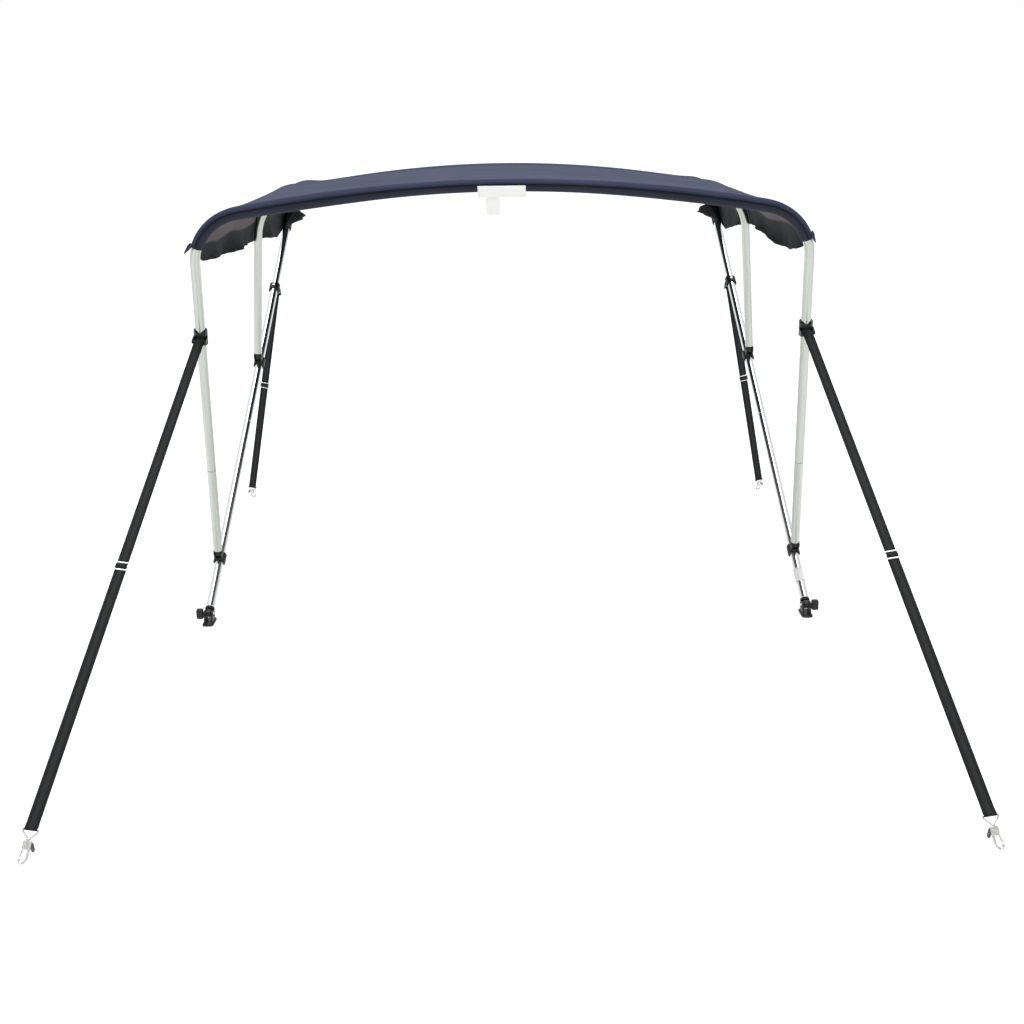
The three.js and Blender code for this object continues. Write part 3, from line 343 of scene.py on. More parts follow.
# Painted shadow: a near-black navy for the fold under the lip of the top cloth, where shade falls.
seam_painted_shadow_finish = cloth_finish("seam_fold_painted_shadow", (25, 28, 38), (17, 19, 27)).material
pocket_finish = cloth_finish("pocket_cloth", (38, 41, 54), (28, 30, 42)).material
label_finish = cloth_finish("blank_label", (246, 246, 244), (232, 232, 231), 0.6e-3).material
satin_finish = tube_finish("satin_aluminium", (186, 190, 184), 0.30, 0.14)
polished_finish = tube_finish("polished_aluminium", (222, 225, 226), 0.09, 0.04)
nylon_finish = moulded_finish("black_nylon", (26, 27, 28), (12, 12, 13), 0.4)
trigger_finish = moulded_finish("grey_nylon", (104, 106, 108), (72, 74, 76), 0.5)
strap_finish = webbing_finish("strap_webbing", (46, 48, 49), (20, 21, 22))
steel_finish = metal_finish("bright_steel", (214, 215, 213), 0.2)


# Meshes

SHARP_ANGLE = radians(32)
TUBE_SIDES = 40
# How far a tube's rounded end reaches along it, and how much narrower the end is
TUBE_END = (1.2, 0.84)


def to_frame(points):
    points = np.asarray(points, float) * MM
    points[..., 1] += HINGE_BACK
    return points


def in_scene(name, data):
    made = bpy.data.objects.new(name, data)
    bpy.context.scene.collection.objects.link(made)
    return made


def mesh_object(name, points, faces, finishes, uvs=None, picked=None, sharp=True):
    """A piece from points in millimetres, with uvs in metres for each corner of each face.

    The numbers picked say which finish each face takes.
    """
    mesh = bpy.data.meshes.new(name)
    mesh.from_pydata(to_frame(points).tolist(), [], faces)
    mesh.polygons.foreach_set("use_smooth", [True] * len(mesh.polygons))
    if picked is not None:
        mesh.polygons.foreach_set("material_index", picked)
    if uvs is not None:
        mesh.uv_layers.new(name="threads").data.foreach_set("uv", np.asarray(uvs, np.float32).ravel())
    mesh.validate()
    mesh.update()
    if sharp:
        mesh.set_sharp_from_angle(angle=SHARP_ANGLE)
    for finish in finishes if isinstance(finishes, list) else [finishes]:
        mesh.materials.append(finish)
    return in_scene(name, mesh)


def run_lengths(points):
    """How far along a line each of its points is."""
    steps = np.linalg.norm(np.diff(points, axis=0), axis=1)
    return np.concatenate([[0], np.cumsum(steps)])


def solid_cloth(name, rows, thickness, finishes, outer_picked=None, inner_picked=None):
    """A cloth of even thickness about a grid of points, rows by columns.

    The last two are grids of numbers that pick each face's finish.
    """
    rows = np.asarray(rows, float)
    count_i, count_j = rows.shape[:2]
    offset = unit(np.cross(np.gradient(rows, axis=0), np.gradient(rows, axis=1))) * thickness / 2
    points = np.concatenate([rows + offset, rows - offset]).reshape(-1, 3)
    u, v = np.meshgrid(run_lengths(rows[count_i // 2]), run_lengths(rows[:, count_j // 2]))
    uvs = np.tile(np.stack([u, v], -1).reshape(-1, 2) * MM, (2, 1))
    at = np.arange(count_i * count_j).reshape(count_i, count_j)
    a, b, c, d = at[:-1, :-1], at[1:, :-1], at[1:, 1:], at[:-1, 1:]
    outer = np.stack([a, b, c, d], -1).reshape(-1, 4)
    inner = np.stack([a, d, c, b], -1).reshape(-1, 4) + at.size
    edge = np.concatenate([at[:, 0], at[-1, 1:], at[-2::-1, -1], at[0, -2::-1]])
    p, q = edge[:-1], edge[1:]
    rim = np.stack([q, p, p + at.size, q + at.size], -1)
    faces = np.concatenate([outer, inner, rim])
    picked = None
    if outer_picked is not None:
        picked = np.concatenate([outer_picked.ravel(), inner_picked.ravel(), np.zeros(len(rim), int)])
    return mesh_object(name, points, faces.tolist(), finishes, uvs[faces.ravel()], picked, sharp=False)


def circle(sides):
    angles = np.linspace(0, 2 * pi, sides, endpoint=False)
    return np.stack([np.cos(angles), np.sin(angles), np.zeros(sides)], -1)


def shell_of(rings, closed=False):
    """Rings of points as a shell, with its ends closed unless the rings go round."""
    rings = np.asarray(rings, float)
    at = np.arange(rings.shape[0] * rings.shape[1]).reshape(rings.shape[:2])
    if closed:
        at = np.concatenate([at, at[:1]])
    a, b = at[:-1], at[1:]
    faces = np.stack([a, np.roll(a, -1, 1), np.roll(b, -1, 1), b], -1).reshape(-1, 4).tolist()
    if not closed:
        faces += [at[0][::-1].tolist(), at[-1].tolist()]
    return rings.reshape(-1, 3), faces


def rings_along(path, radii, outs, normals, sides):
    """A ring about each point of a path, from two ways across the path there."""
    turn = circle(sides)
    return [p + r * (turn[:, :1] * o + turn[:, 1:2] * n) for p, r, o, n in zip(path, radii, outs, normals)]


def repeat_ends(values):
    return np.concatenate([values[:1], values, values[-1:]])


def worn_ends(points, radius, lead, worn):
    """A line with one more point a lead from each end, its radii, and the way along it at each point."""
    tangent = unit(np.gradient(points, axis=0))
    near = [points[0] + lead * tangent[0], *points[1:-1], points[-1] - lead * tangent[-1]]
    path = np.array([points[0], *near, points[-1]])
    return path, [radius - worn, *[radius] * len(points), radius - worn], repeat_ends(tangent)


# Bows and legs

def tube(name, points, outs, normal, finish):
    """A tube along points, unwrapped around and along it."""
    path, radii, _ = worn_ends(points, TUBE_RADIUS, *TUBE_END)
    normals = np.broadcast_to(normal, path.shape)
    shell, faces = shell_of(rings_along(path, radii, repeat_ends(outs), normals, TUBE_SIDES))
    around = 2 * pi * TUBE_RADIUS * np.arange(TUBE_SIDES + 1) / TUBE_SIDES
    along = run_lengths(path)
    u0, v0 = np.meshgrid(around[:-1], along[:-1])
    u1, v1 = np.meshgrid(around[1:], along[1:])
    uvs = np.stack([u0, v0, u1, v0, u1, v1, u0, v1], -1).reshape(-1, 2) * MM
    return mesh_object(name, shell, faces, finish, np.concatenate([uvs, np.zeros((2 * TUBE_SIDES, 2))]))


def bow_tube(name, bow, foot_at, finish):
    stations = np.concatenate([np.linspace(0, CROWN_PARTS, 40), np.linspace(CROWN_PARTS, LEG_TOP, 22)[1:]])
    points, outs = bow.station(stations)
    below = bow.on_leg(np.linspace(bow.leg_length, foot_at, 6)[1:])
    points = np.concatenate([points, below])
    outs = np.concatenate([outs, np.repeat(outs[-1:], len(below), axis=0)])
    points, outs = (np.concatenate([flipped(line[:0:-1], -1), line]) for line in (points, outs))
    return tube(name, points, outs, bow.normal, finish)


def leg_tube(name, bow, start, end, sign, finish):
    points = bow.on_leg(np.linspace(start, end, 6))
    outs = np.broadcast_to(unit(np.cross(bow.normal, bow.leg_up)), points.shape)
    return tube(name, flipped(points, sign), flipped(outs, sign), bow.normal, finish)


def keep(piece, node):
    """The piece rides on the frame and stands for a CAD node."""
    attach(piece, "frame")
    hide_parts(node)
    return piece


keep(bow_tube("front_bow_tube", front_bow, FRONT_FERRULE_AT, satin_finish), "front_bow")
keep(bow_tube("middle_bow_tube", middle_bow, JAW_TUBE_START, satin_finish), "middle_bow")
keep(bow_tube("main_bow_tube", main_bow, MAIN_FERRULE_AT, polished_finish), "main_bow")
SIDES = {"right": 1, "left": -1}
LEGS = (
    ("front", front_bow, JAW_TUBE_START, FRONT_FERRULE_AT, satin_finish, "satin_tube"),
    ("main", main_bow, TUBE_START, MAIN_FERRULE_AT, polished_finish, "polished_tube"),
)
for side, sign in SIDES.items():
    for name, bow, start, end, finish, slot in LEGS:
        leg = leg_tube(f"{side}_{name}_leg_tube", bow, start, end - GAP, sign, finish)
        keep(leg, f"{side}_{name}_leg")


# The canopy

CLOTH_THICKNESS = 1.0
SOLID_CLOTH_HALF = 0.7
SLEEVE_RADIUS = 14.6
SLEEVE_HANG = 1
DROP_PARTS = 4
TAIL_STATIONS = 2
SLEEVE_CORNER = LEG_TOP - TAIL_STATIONS
COLUMNS = SLEEVE_CORNER + DROP_PARTS
PANEL_SAG = 9
SEAM_DIPS = {"front": 4, "rear": 14}
SEAM_DIP_WIDTH = 30
SEAM_DIP_AT = 55
BRIDGE_RISE = (8, 0)
BRIDGE_AT = 8.2
BRIDGE_REACH = 2.4
HEM_SWAY = 5
HEM_CURL = 20
DROP_SPREAD = 25
FLANGE_SHARE = 0.04
SEAM_GAP = 0.6

# Heights of the side hems at places behind the deck hinges, on the left and on the right
HEM_BACK = [-225, -160, -110, 20, 180, 300, 420, 650, 810, 1020, 1160, 1270]
HEM_HEIGHT = {
    -1: [1070, 1036, 1019, 1012, 1008, 1005, 1002, 998, 994, 980, 966, 988],
    1: [1070, 1042, 1030, 1013, 1013, 1022, 1028, 1029, 1014, 988, 970, 988],
}
CURL_BACK = [-200, -80, 150, 380, 560, 760, 930, 1080, 1160]
CURL_SHARE = [0, 0.9, 0.5, 1, 0, 0, 0.8, 0.4, 0]
# Soft ridges of the top: across, back, rise, and their reach across and along
RIDGES = [
    (-705, 1400, 7, 45, 120),
    (-560, 1440, 12, 26, 90),
    (-300, 150, -4, 120, 160),
    (420, 1050, -5, 150, 180),
    (610, 300, 5, 60, 220),
    (-620, 260, 4, 50, 240),
]
SLEEVES = {
    "front": (front_bow, 18, -BACK),
    "rear": (main_bow, 154, BACK),
    "middle": (middle_bow, 1, -BACK),
}
# How loose a sleeve is on the left and right, near which column, and if it hangs or stands up
LOOSE = {
    "front": (2.6, 2, 5, 2.4, -1),
    "rear": (15, 9, 9.5, 1.7, 1),
    "middle": (0, 0, 0, 1, 1),
}
# The rear sleeve's free edge: how far in it stands, near which column, and its reach to each side
FLAP_REACH = 74
FLAP_AT = 13.56
FLAP_SPREAD = (0.97, 0.8)
FLAP_RUFFLE = 0.08
FLAP_RUFFLES = 13


def bow_column(bow, tail, columns):
    """The bow's axis under each column of cloth, and the way out of the bow there."""
    nth = np.maximum(np.abs(columns) - SLEEVE_CORNER, 0)
    bent = TAIL_STATIONS * bow.corner_step
    if tail < bent:
        distance = tail * nth / DROP_PARTS
    else:
        below = mix(bent, tail, (nth - TAIL_STATIONS) / (DROP_PARTS - TAIL_STATIONS))
        distance = np.where(nth <= TAIL_STATIONS, nth * bow.corner_step, below)
    high = np.minimum(np.abs(columns), SLEEVE_CORNER)
    point, out = bow.station(high + np.minimum(distance / bow.corner_step, TAIL_STATIONS))
    return point - column(np.maximum(distance - bent, 0)) * bow.leg_up, out, distance


def levelled(out):
    return unit(out * np.array([1, 0, 1]))


def sleeve_frame(which, columns):
    bow, tail, away = SLEEVES[which]
    point, out, distance = bow_column(bow, tail, columns)
    plane = bow.normal * (1 if bow.normal @ away > 0 else -1)
    level = levelled(out)
    tilt = np.arctan2(level @ plane, np.sum(level * out, -1))
    n = column(np.cos(tilt)) * out + column(np.sin(tilt)) * plane
    side = -column(np.sin(tilt)) * out + column(np.cos(tilt)) * plane
    left, right, at, reach, up = LOOSE[which]
    extra = np.where(columns < 0, left, right) * bell(np.abs(columns) - at, reach)
    return point + column(extra * up - SLEEVE_HANG) * n, n, side, distance, SLEEVE_RADIUS + extra


def sleeve_point(which, columns, angle, lift=0):
    """Points of a sleeve at an angle from its top, lifted off it by a little."""
    middle, n, side, _, radius = sleeve_frame(which, columns)
    turn = radians(angle)
    return middle + column(radius + lift) * (cos(turn) * n + sin(turn) * side)


def mirrored(columns, points):
    return flipped(points, np.where(columns < 0, -1, 1))


def slack_at(columns):
    past = np.clip(np.abs(columns) - CROWN_PARTS, 0, SLEEVE_CORNER - CROWN_PARTS)
    return 1 - past / (SLEEVE_CORNER - CROWN_PARTS)


def relief(columns, point, share, span, to_bow):
    """How far the cloth between two bows stands out or sags: its sag, seam dips and soft ridges."""
    beside = bell(to_bow - SEAM_DIP_AT, SEAM_DIP_WIDTH) * np.minimum(1, to_bow / SEAM_DIP_AT)
    lift = -(PANEL_SAG * 4 * share * (1 - share) + SEAM_DIPS[span] * beside) * slack_at(columns)
    for x, back, rise, across, reach in RIDGES:
        near = bell(point[:, 0] - x, across) * bell(point[:, 1] - back, reach)
        lift = lift + rise * near * min(1, 6 * share * (1 - share))
    return lift


def span_ends(columns, span):
    n = sleeve_frame(span, columns)[1]
    bow_end = (sleeve_point(span, columns, 0), n)
    point, out = middle_bow.station(columns)
    level = levelled(out)
    bridge = np.where(columns < 0, *BRIDGE_RISE) * bell(np.abs(columns) - BRIDGE_AT, BRIDGE_REACH)
    middle = (point + column(SLEEVE_RADIUS - SLEEVE_HANG + bridge) * level, level)
    return (bow_end, middle) if span == "front" else (middle, bow_end)


def panel(columns, span, share):
    """The cloth between two bows, at a share of the way, down to the corners."""
    (from_point, from_n), (to_point, to_n) = span_ends(columns, span)
    point = mirrored(columns, mix(from_point, to_point, share))
    n = mirrored(columns, unit(mix(from_n, to_n, share)))
    run = np.linalg.norm(to_point - from_point, axis=-1)
    to_bow = (share if span == "front" else 1 - share) * run
    return point + column(relief(columns, point, share, span, to_bow)) * n, n


def drop(columns, span, share):
    """The side drop, from the corners down to the hem."""
    sign = np.where(columns < 0, -1, 1)
    nth = np.abs(columns) - SLEEVE_CORNER
    top, _ = panel(sign * float(SLEEVE_CORNER), span, share)
    to_sleeve = 1 - share if span == "front" else share
    _, tail, _ = SLEEVES[span]
    sleeve_down = sleeve_frame(span, columns)[3] / tail
    down = mix(nth / DROP_PARTS, sleeve_down, to_sleeve)
    sleeve_end = sleeve_point(span, np.array([float(COLUMNS)]), 0)[0]
    hem_back = mix(MIDDLE_CROWN_BACK, sleeve_end[1], to_sleeve)
    back = mix(top[:, 1], hem_back, down)
    hem = np.where(columns < 0, *(np.interp(hem_back, HEM_BACK, HEM_HEIGHT[s]) for s in (-1, 1)))
    curl = HEM_CURL * np.interp(hem_back, CURL_BACK, CURL_SHARE)
    wave = 1 + np.sin(back / 47 + np.where(columns < 0, 0, 2.1) + down)
    sway = HEM_SWAY * wave * down * min(1, curl / HEM_SWAY)
    free = np.abs(top[:, 0]) + DROP_SPREAD * np.sin(pi / 2 * down) - curl * down**3 - sway
    held = sleeve_point(span, columns, 0)[:, 0]
    x = mix(free, held, to_sleeve**4)
    point = np.stack([sign * x, back, mix(top[:, 2], hem, down)], -1)
    return point, column(sign) * RIGHT


def cloth(columns, span, share):
    """Points of the cloth and the ways out of it, at a share of the way between two bows."""
    high = np.clip(columns, -SLEEVE_CORNER, SLEEVE_CORNER)
    point, n = panel(high, span, share)
    low = np.abs(columns) > SLEEVE_CORNER
    if low.any():
        point[low], n[low] = drop(columns[low], span, share)
    return point, n


column_grid = np.concatenate([
    -np.linspace(COLUMNS, SLEEVE_CORNER, 22),
    -np.linspace(SLEEVE_CORNER, CROWN_PARTS, 20)[1:],
    np.linspace(-CROWN_PARTS, CROWN_PARTS, 150)[1:-1],
    np.linspace(CROWN_PARTS, SLEEVE_CORNER, 20)[:-1],
    np.linspace(SLEEVE_CORNER, COLUMNS, 22),
])


# The front and rear sleeves end under a lip of the top cloth, above the middle of their outer sides.
LIP_ANGLE = 76
LIP_RISE = 1.3
LIP_BLEND_ANGLE = 60
FOLD_ANGLE = 96
TUCK_ANGLE = 180
SLEEVE_TURNS = np.array([
    *np.linspace(270, FOLD_ANGLE, 20), 88, 80, 78, LIP_ANGLE, 74, *np.linspace(68, 0, 10),
])
# Creases of the side drops: where they start, how deep the broad ones and the folds are, and the hem's waves
CREASE_START = 0.6
CREASE_DEPTH = 3.6
FOLD_DEPTH = 2
HEM_WAVE = 2.5


def flap_depth(columns):
    """How far the rear sleeve's free edge stands in from the hem."""
    off = np.abs(columns) - FLAP_AT
    ruffle = 1 + FLAP_RUFFLE * np.sin(FLAP_RUFFLES * columns)
    return FLAP_REACH * ruffle * bell(off, np.where(off < 0, *FLAP_SPREAD))


def sleeve_rows(span):
    turns = []
    for angle in SLEEVE_TURNS:
        lift = LIP_RISE * min(1, angle / LIP_BLEND_ANGLE) if angle <= LIP_ANGLE else 0
        turns.append(mirrored(column_grid, sleeve_point(span, column_grid, angle, lift)))
    point, n = cloth(column_grid, span, FLANGE_SHARE if span == "front" else 1 - FLANGE_SHARE)
    depth = CLOTH_THICKNESS + SEAM_GAP + (0 if span == "front" else flap_depth(column_grid))
    seam = point - column(depth) * n
    return [seam, *[mix(seam, turns[0], share) for share in (0.25, 0.5, 0.75)], *turns]


def crumpled(rows, start, stop):
    """The side drops between two rows with the creases of cloth that hangs loose by its hem."""
    for j, at in enumerate(column_grid):
        down = max(0, abs(at) - SLEEVE_CORNER - CREASE_START) / (DROP_PARTS - CREASE_START)
        if not down:
            continue
        for i in range(start, stop):
            x, y, z = rows[i, j]
            side = copysign(1, x)
            held = min(1, (i - start) / 7, (stop - 1 - i) / 7)
            near_bow = 1 - 0.8 * bell(y - MIDDLE_CROWN_BACK, 60)
            broad = noise.noise(Vector((y / 70, z / 38, 3.7 * side)))
            fold = 1 - 2 * abs(noise.noise(Vector((y / 34 + z / 60, z / 45, 9.2 * side))))
            rows[i, j, 0] -= side * (CREASE_DEPTH * broad + FOLD_DEPTH * fold) * down * held * near_bow
            rows[i, j, 2] += HEM_WAVE * noise.noise(Vector((y / 55, 0, 5.1 * side))) * down**2 * held


panel_shares = np.concatenate([[0.012, 0.03], np.linspace(0.05, 1, 46)])
front_sleeve = sleeve_rows("front")
rear_sleeve = sleeve_rows("rear")[::-1]
canopy_rows = np.array([
    *front_sleeve,
    *[cloth(column_grid, "front", share)[0] for share in panel_shares],
    *[cloth(column_grid, "rear", 1 - share)[0] for share in panel_shares[-2::-1]],
    *rear_sleeve,
])
crumpled(canopy_rows, len(front_sleeve), len(canopy_rows) - len(rear_sleeve))

# Regions of the canopy, as numbers that pick a finish, counted in rows from its front and rear edges. The
# fold under each lip takes painted shadow, the rear sleeve's tucked rows take painted light, and the top's
# inner side takes the lining with its painted light and shade.
TOP, HEM, SEAM_SHADOW, LIT_LINING, LIT_TUCK = range(5)
HEM_STITCH_ROWS = 6
LIP_STITCH_IN = 0.005
POCKET_STITCH_OFF = 0.026
region = np.full((len(canopy_rows) - 1, len(column_grid) - 1), TOP)
lip_row = len(front_sleeve) - np.count_nonzero(SLEEVE_TURNS <= LIP_ANGLE)
shadowed_fold_rows = np.count_nonzero((SLEEVE_TURNS < FOLD_ANGLE) & (SLEEVE_TURNS >= LIP_ANGLE))
lit_tucked_rows = lip_row - np.count_nonzero((SLEEVE_TURNS < TUCK_ANGLE) & (SLEEVE_TURNS > LIP_ANGLE))
# Near each edge the sleeve rows take the hem cloth, and the fold under the lip takes the painted shadow.
for from_edge in (region, region[::-1]):
    from_edge[:lip_row] = HEM
    from_edge[lip_row - shadowed_fold_rows:lip_row] = SEAM_SHADOW
# The rear sleeve's tucked rows take the painted light.
region[-lit_tucked_rows:] = LIT_TUCK
run = run_lengths(canopy_rows[:, len(column_grid) // 2]) * MM
middle_row = len(front_sleeve) + len(panel_shares) - 1
canopy_width = run_lengths(canopy_rows[len(canopy_rows) // 2])[-1] * MM
seams = [
    run[lip_row] + LIP_STITCH_IN, run[lip_row - HEM_STITCH_ROWS],
    run[middle_row] - POCKET_STITCH_OFF, run[middle_row] + POCKET_STITCH_OFF, run[-lip_row] - LIP_STITCH_IN,
]
canopy_finish = cloth_finish(
    "canopy_cloth", (46, 51, 74), (35, 40, 60), seams=seams, thread=(66, 70, 90)
).material


def lining_painted_light_finish():
    """The cloth's inner side, with painted light and shade: a pale colour paints the light that comes
    through it above, and a dark colour paints shade along the side hems, where the cloth lies in two layers,
    and behind the middle bow.
    """
    # Painted light: these pale grey-brown tones stand for light shining through the navy cloth.
    finish = cloth_finish("canopy_lining_painted_light", (96, 90, 90), (80, 75, 77))
    place = finish.place()
    across, along, _ = finish.axes(place)
    edge = finish.math("MINIMUM", across, finish.math("SUBTRACT", canopy_width, across))
    ragged = finish.math("MULTIPLY_ADD", finish.noise(place, 3.5, 1), 0.06, edge)
    doubled_and_shaded = finish.ramp(finish.math("MULTIPLY", ragged, 4.0), (0.345, 1.0), (0.375, 0.0))
    doubled_and_shaded = finish.math("MAXIMUM", doubled_and_shaded, finish.math("GREATER_THAN", along, float(run[middle_row])))
    through_light = finish.shader.inputs["Base Color"].links[0].from_socket
    # Painted shade: the dark colour goes along the side hems and behind the middle bow, where no light is
    # painted through.
    finish.link(finish.blend(doubled_and_shaded, through_light, colour((24, 29, 31))), "Base Color")
    return finish.material


canopy = solid_cloth(
    "canopy_cloth", canopy_rows, CLOTH_THICKNESS,
    [canopy_finish, hem_finish, seam_painted_shadow_finish, lining_painted_light_finish(), tuck_painted_light_finish],
    np.where(region == TOP, LIT_LINING, region), region,
)
keep(canopy, "canopy")


# The pocket of the middle bow

POCKET_THICKNESS = 1.0
POCKET_SEAM_SHARES = (0.96, 0.97, 0.98)


def pocket_seam(span, share):
    depth = CLOTH_THICKNESS / 2 + SEAM_GAP + POCKET_THICKNESS / 2
    point, n = cloth(pocket_columns, span, share)
    return point - depth * n


pocket_columns = np.linspace(-CROWN_PARTS, CROWN_PARTS, 121)
round_bow = [sleeve_point("middle", pocket_columns, angle) for angle in np.linspace(75, 285, 26)]
pocket_rows = np.array([
    *[pocket_seam("front", share) for share in POCKET_SEAM_SHARES],
    *[mirrored(pocket_columns, row) for row in round_bow],
    *[pocket_seam("rear", 1 - share) for share in POCKET_SEAM_SHARES[::-1]],
])
pocket = solid_cloth("middle_bow_pocket", pocket_rows, POCKET_THICKNESS, pocket_finish)
keep(pocket, "middle_bow_sleeve")


# Shells of the fittings, in millimetres about a place of their own

def lathe(profile, sides=32):
    """Turned about z, from radii and heights that start at its lower end."""
    return shell_of([radius * circle(sides) + height * UP for radius, height in profile])


def wire(points, radius, normal, closed=False, sides=14):
    """A round wire along points in a plane, with its ends rounded."""
    path = np.asarray(points, float)
    if closed:
        tangent = unit(np.roll(path, -1, 0) - np.roll(path, 1, 0))
        radii = [radius] * len(path)
    else:
        path, radii, tangent = worn_ends(path, radius, 0.35 * radius, 0.35 * radius)
    normals = np.broadcast_to(normal, path.shape)
    return shell_of(rings_along(path, radii, np.cross(normal, tangent), -normals, sides), closed)


def curve(points, parts=6):
    """A smooth line through points."""
    points = np.asarray(points, float)
    points = np.concatenate([[2 * points[0] - points[1]], points, [2 * points[-1] - points[-2]]])
    line = []
    for p, q, r, s in zip(points, points[1:], points[2:], points[3:]):
        for t in np.linspace(0, 1, parts, endpoint=False):
            bend = (2 * p - 5 * q + 4 * r - s) * t**2 + (3 * q - p - 3 * r + s) * t**3
            line.append(q + ((r - p) * t + bend) / 2)
    return np.array([*line, points[-2]])


def softened(corners, radius, parts=5):
    """A closed outline with its corners rounded over a length of its edges."""
    corners = np.asarray(corners, float)
    line = []
    for before, corner, after in zip(np.roll(corners, 1, 0), corners, np.roll(corners, -1, 0)):
        edges = (before - corner, after - corner)
        start, end = (corner + edge * min(radius / np.linalg.norm(edge), 0.48) for edge in edges)
        for t in np.linspace(0, 1, parts):
            line.append((1 - t) ** 2 * start + 2 * t * (1 - t) * corner + t**2 * end)
    return np.array(line)


def rectangle(width, length, radius):
    x, y = width / 2, length / 2
    return softened([(-x, -y), (x, -y), (x, y), (-x, y)], radius)


def slab(outline, thickness, worn=0.7):
    """A plate in the x-y plane, from an outline that runs to the left, with worn edges."""
    outline = np.asarray(outline, float)
    before = outline - np.roll(outline, 1, 0)
    after = np.roll(outline, -1, 0) - outline
    outward = [unit(np.stack([way[:, 1], -way[:, 0]], -1)) for way in (before, after)]
    mitre = unit(outward[0] + outward[1])
    inner = outline - worn * mitre / np.maximum(np.sum(mitre * outward[0], -1, keepdims=True), 0.6)
    half = thickness / 2
    levels = ((inner, -half), (outline, -half + worn), (outline, half - worn), (inner, half))
    return shell_of([np.column_stack([line, np.full(len(line), z)]) for line, z in levels])


def set_in(shell, x, y, z, at=(0, 0, 0)):
    """The shell with its axes laid along x, y and z, about a place."""
    points, faces = shell
    axes = np.array([x, y, z], float)
    return points @ axes + np.asarray(at, float), faces


class Piece:
    """A piece of several shells, which may differ in finish, built for the right side."""

    def __init__(self):
        self.points, self.faces, self.picked, self.count = [], [], [], 0

    def add(self, shell, finish=0):
        points, faces = shell
        self.points.append(points)
        self.faces += [[self.count + i for i in face] for face in faces]
        self.picked += [finish] * len(faces)
        self.count += len(points)
        return self

    def make(self, name, finishes, sign, place):
        """The piece at its place on one side. The place is three axes and a point of the right side."""
        points = flipped(set_in((np.concatenate(self.points), None), *place)[0], sign)
        faces = self.faces if sign > 0 else [face[::-1] for face in self.faces]
        return mesh_object(name, points, faces, finishes, picked=self.picked)

    def fit(self, side, name, node, slot, finishes, place):
        """The piece on one side, riding on the frame in place of a CAD node of that side."""
        return keep(self.make(f"{side}_{name}", finishes, SIDES[side], place), f"{side}_{node}")


# Fittings

PIN_RADIUS = 3.5
SLOT_HALF = 7.3
BAND_RADIUS = 17.5
BORE_RADIUS = 13.1
BAND_WORN = 0.9
SCOOP_RADIUS = 16
SCOOP_DEPTH = 5
JAW_LENGTH = 30
JAW_CHEEK = 4.5
JAW_EYE_RADIUS = 10.5
STRAP_BAR_REACH = 27
STRAP_BAR_RADIUS = 3
STRAP_BAR_HALF = 16.5
LUG_HALF = 5.5
END_EYE_RADIUS = 9.5
END_EYE_WIDTH = 12
END_NECK_HALF = 7.5
COLLAR_RADIUS = TUBE_RADIUS + 0.9
JAW_COLLAR_HEIGHT = 1.6
MAIN_COLLAR_HEIGHT = 7
HINGE_CHEEK = 5
HINGE_EYE_RADIUS = 11
HINGE_CHEEK_HALF = 19
BASE_SIZE = (31, 62)
BASE_THICKNESS = 6
NUT_RADIUS = 7.5
GRIP_START = 15.6
GRIP_SIZE = (19, 29)
GRIP_THICKNESS = 13
GRIP_RIBS = (-9, -4.5, 0, 4.5, 9)
SHANK_RADIUS = 5.5
# Ways in which a flat shape is laid: facing the front, or with its axis along x
Y_AWAY = (RIGHT, UP, -BACK)
ALONG_X = (BACK, UP, RIGHT)


def band(length):
    """A slide's band about z, whose ends are scooped out front and back."""
    turn = circle(64)

    def end(radius):
        x = np.minimum(np.abs(radius * turn[:, 0]), SCOOP_RADIUS)
        scooped = length / 2 + SCOOP_RADIUS - SCOOP_DEPTH - np.sqrt(SCOOP_RADIUS**2 - x**2)
        return np.minimum(length / 2, scooped)

    wall = [
        (BORE_RADIUS, BAND_WORN), (BORE_RADIUS + BAND_WORN, 0),
        (BAND_RADIUS - BAND_WORN, 0), (BAND_RADIUS, BAND_WORN),
    ]
    profile = [*((*corner, -1) for corner in wall), *((*corner, 1) for corner in wall[::-1])]
    rings = [radius * turn + column(up * (end(radius) - back)) * UP for radius, back, up in profile]
    return shell_of(rings, closed=True)


def bar(radius, start, stop):
    """A round bar along x."""
    lead = 0.25 * radius
    ends = [(radius - lead, start), (radius, start + lead), (radius, stop - lead), (radius - lead, stop)]
    return set_in(lathe(ends), *ALONG_X)


def screw(radius, height):
    """A screw's head on z, with a round socket in it."""
    return lathe([
        (radius, -2), (radius, height * 0.55), (radius * 0.86, height * 0.9), (radius * 0.62, height),
        (radius * 0.5, height), (radius * 0.46, height * 0.9), (radius * 0.46, height * 0.3),
    ], 24)


def cheek(outline, side, thickness):
    """A plate beside the slot, from an outline in the y-z plane."""
    return set_in(slab(outline, thickness), *ALONG_X, side * (SLOT_HALF + thickness / 2) * RIGHT)


def arc(centre, radius, start, stop, parts=13):
    angles = np.radians(np.linspace(start, stop, parts))
    return [(centre[0] + radius * cos(a), centre[1] + radius * sin(a)) for a in angles]


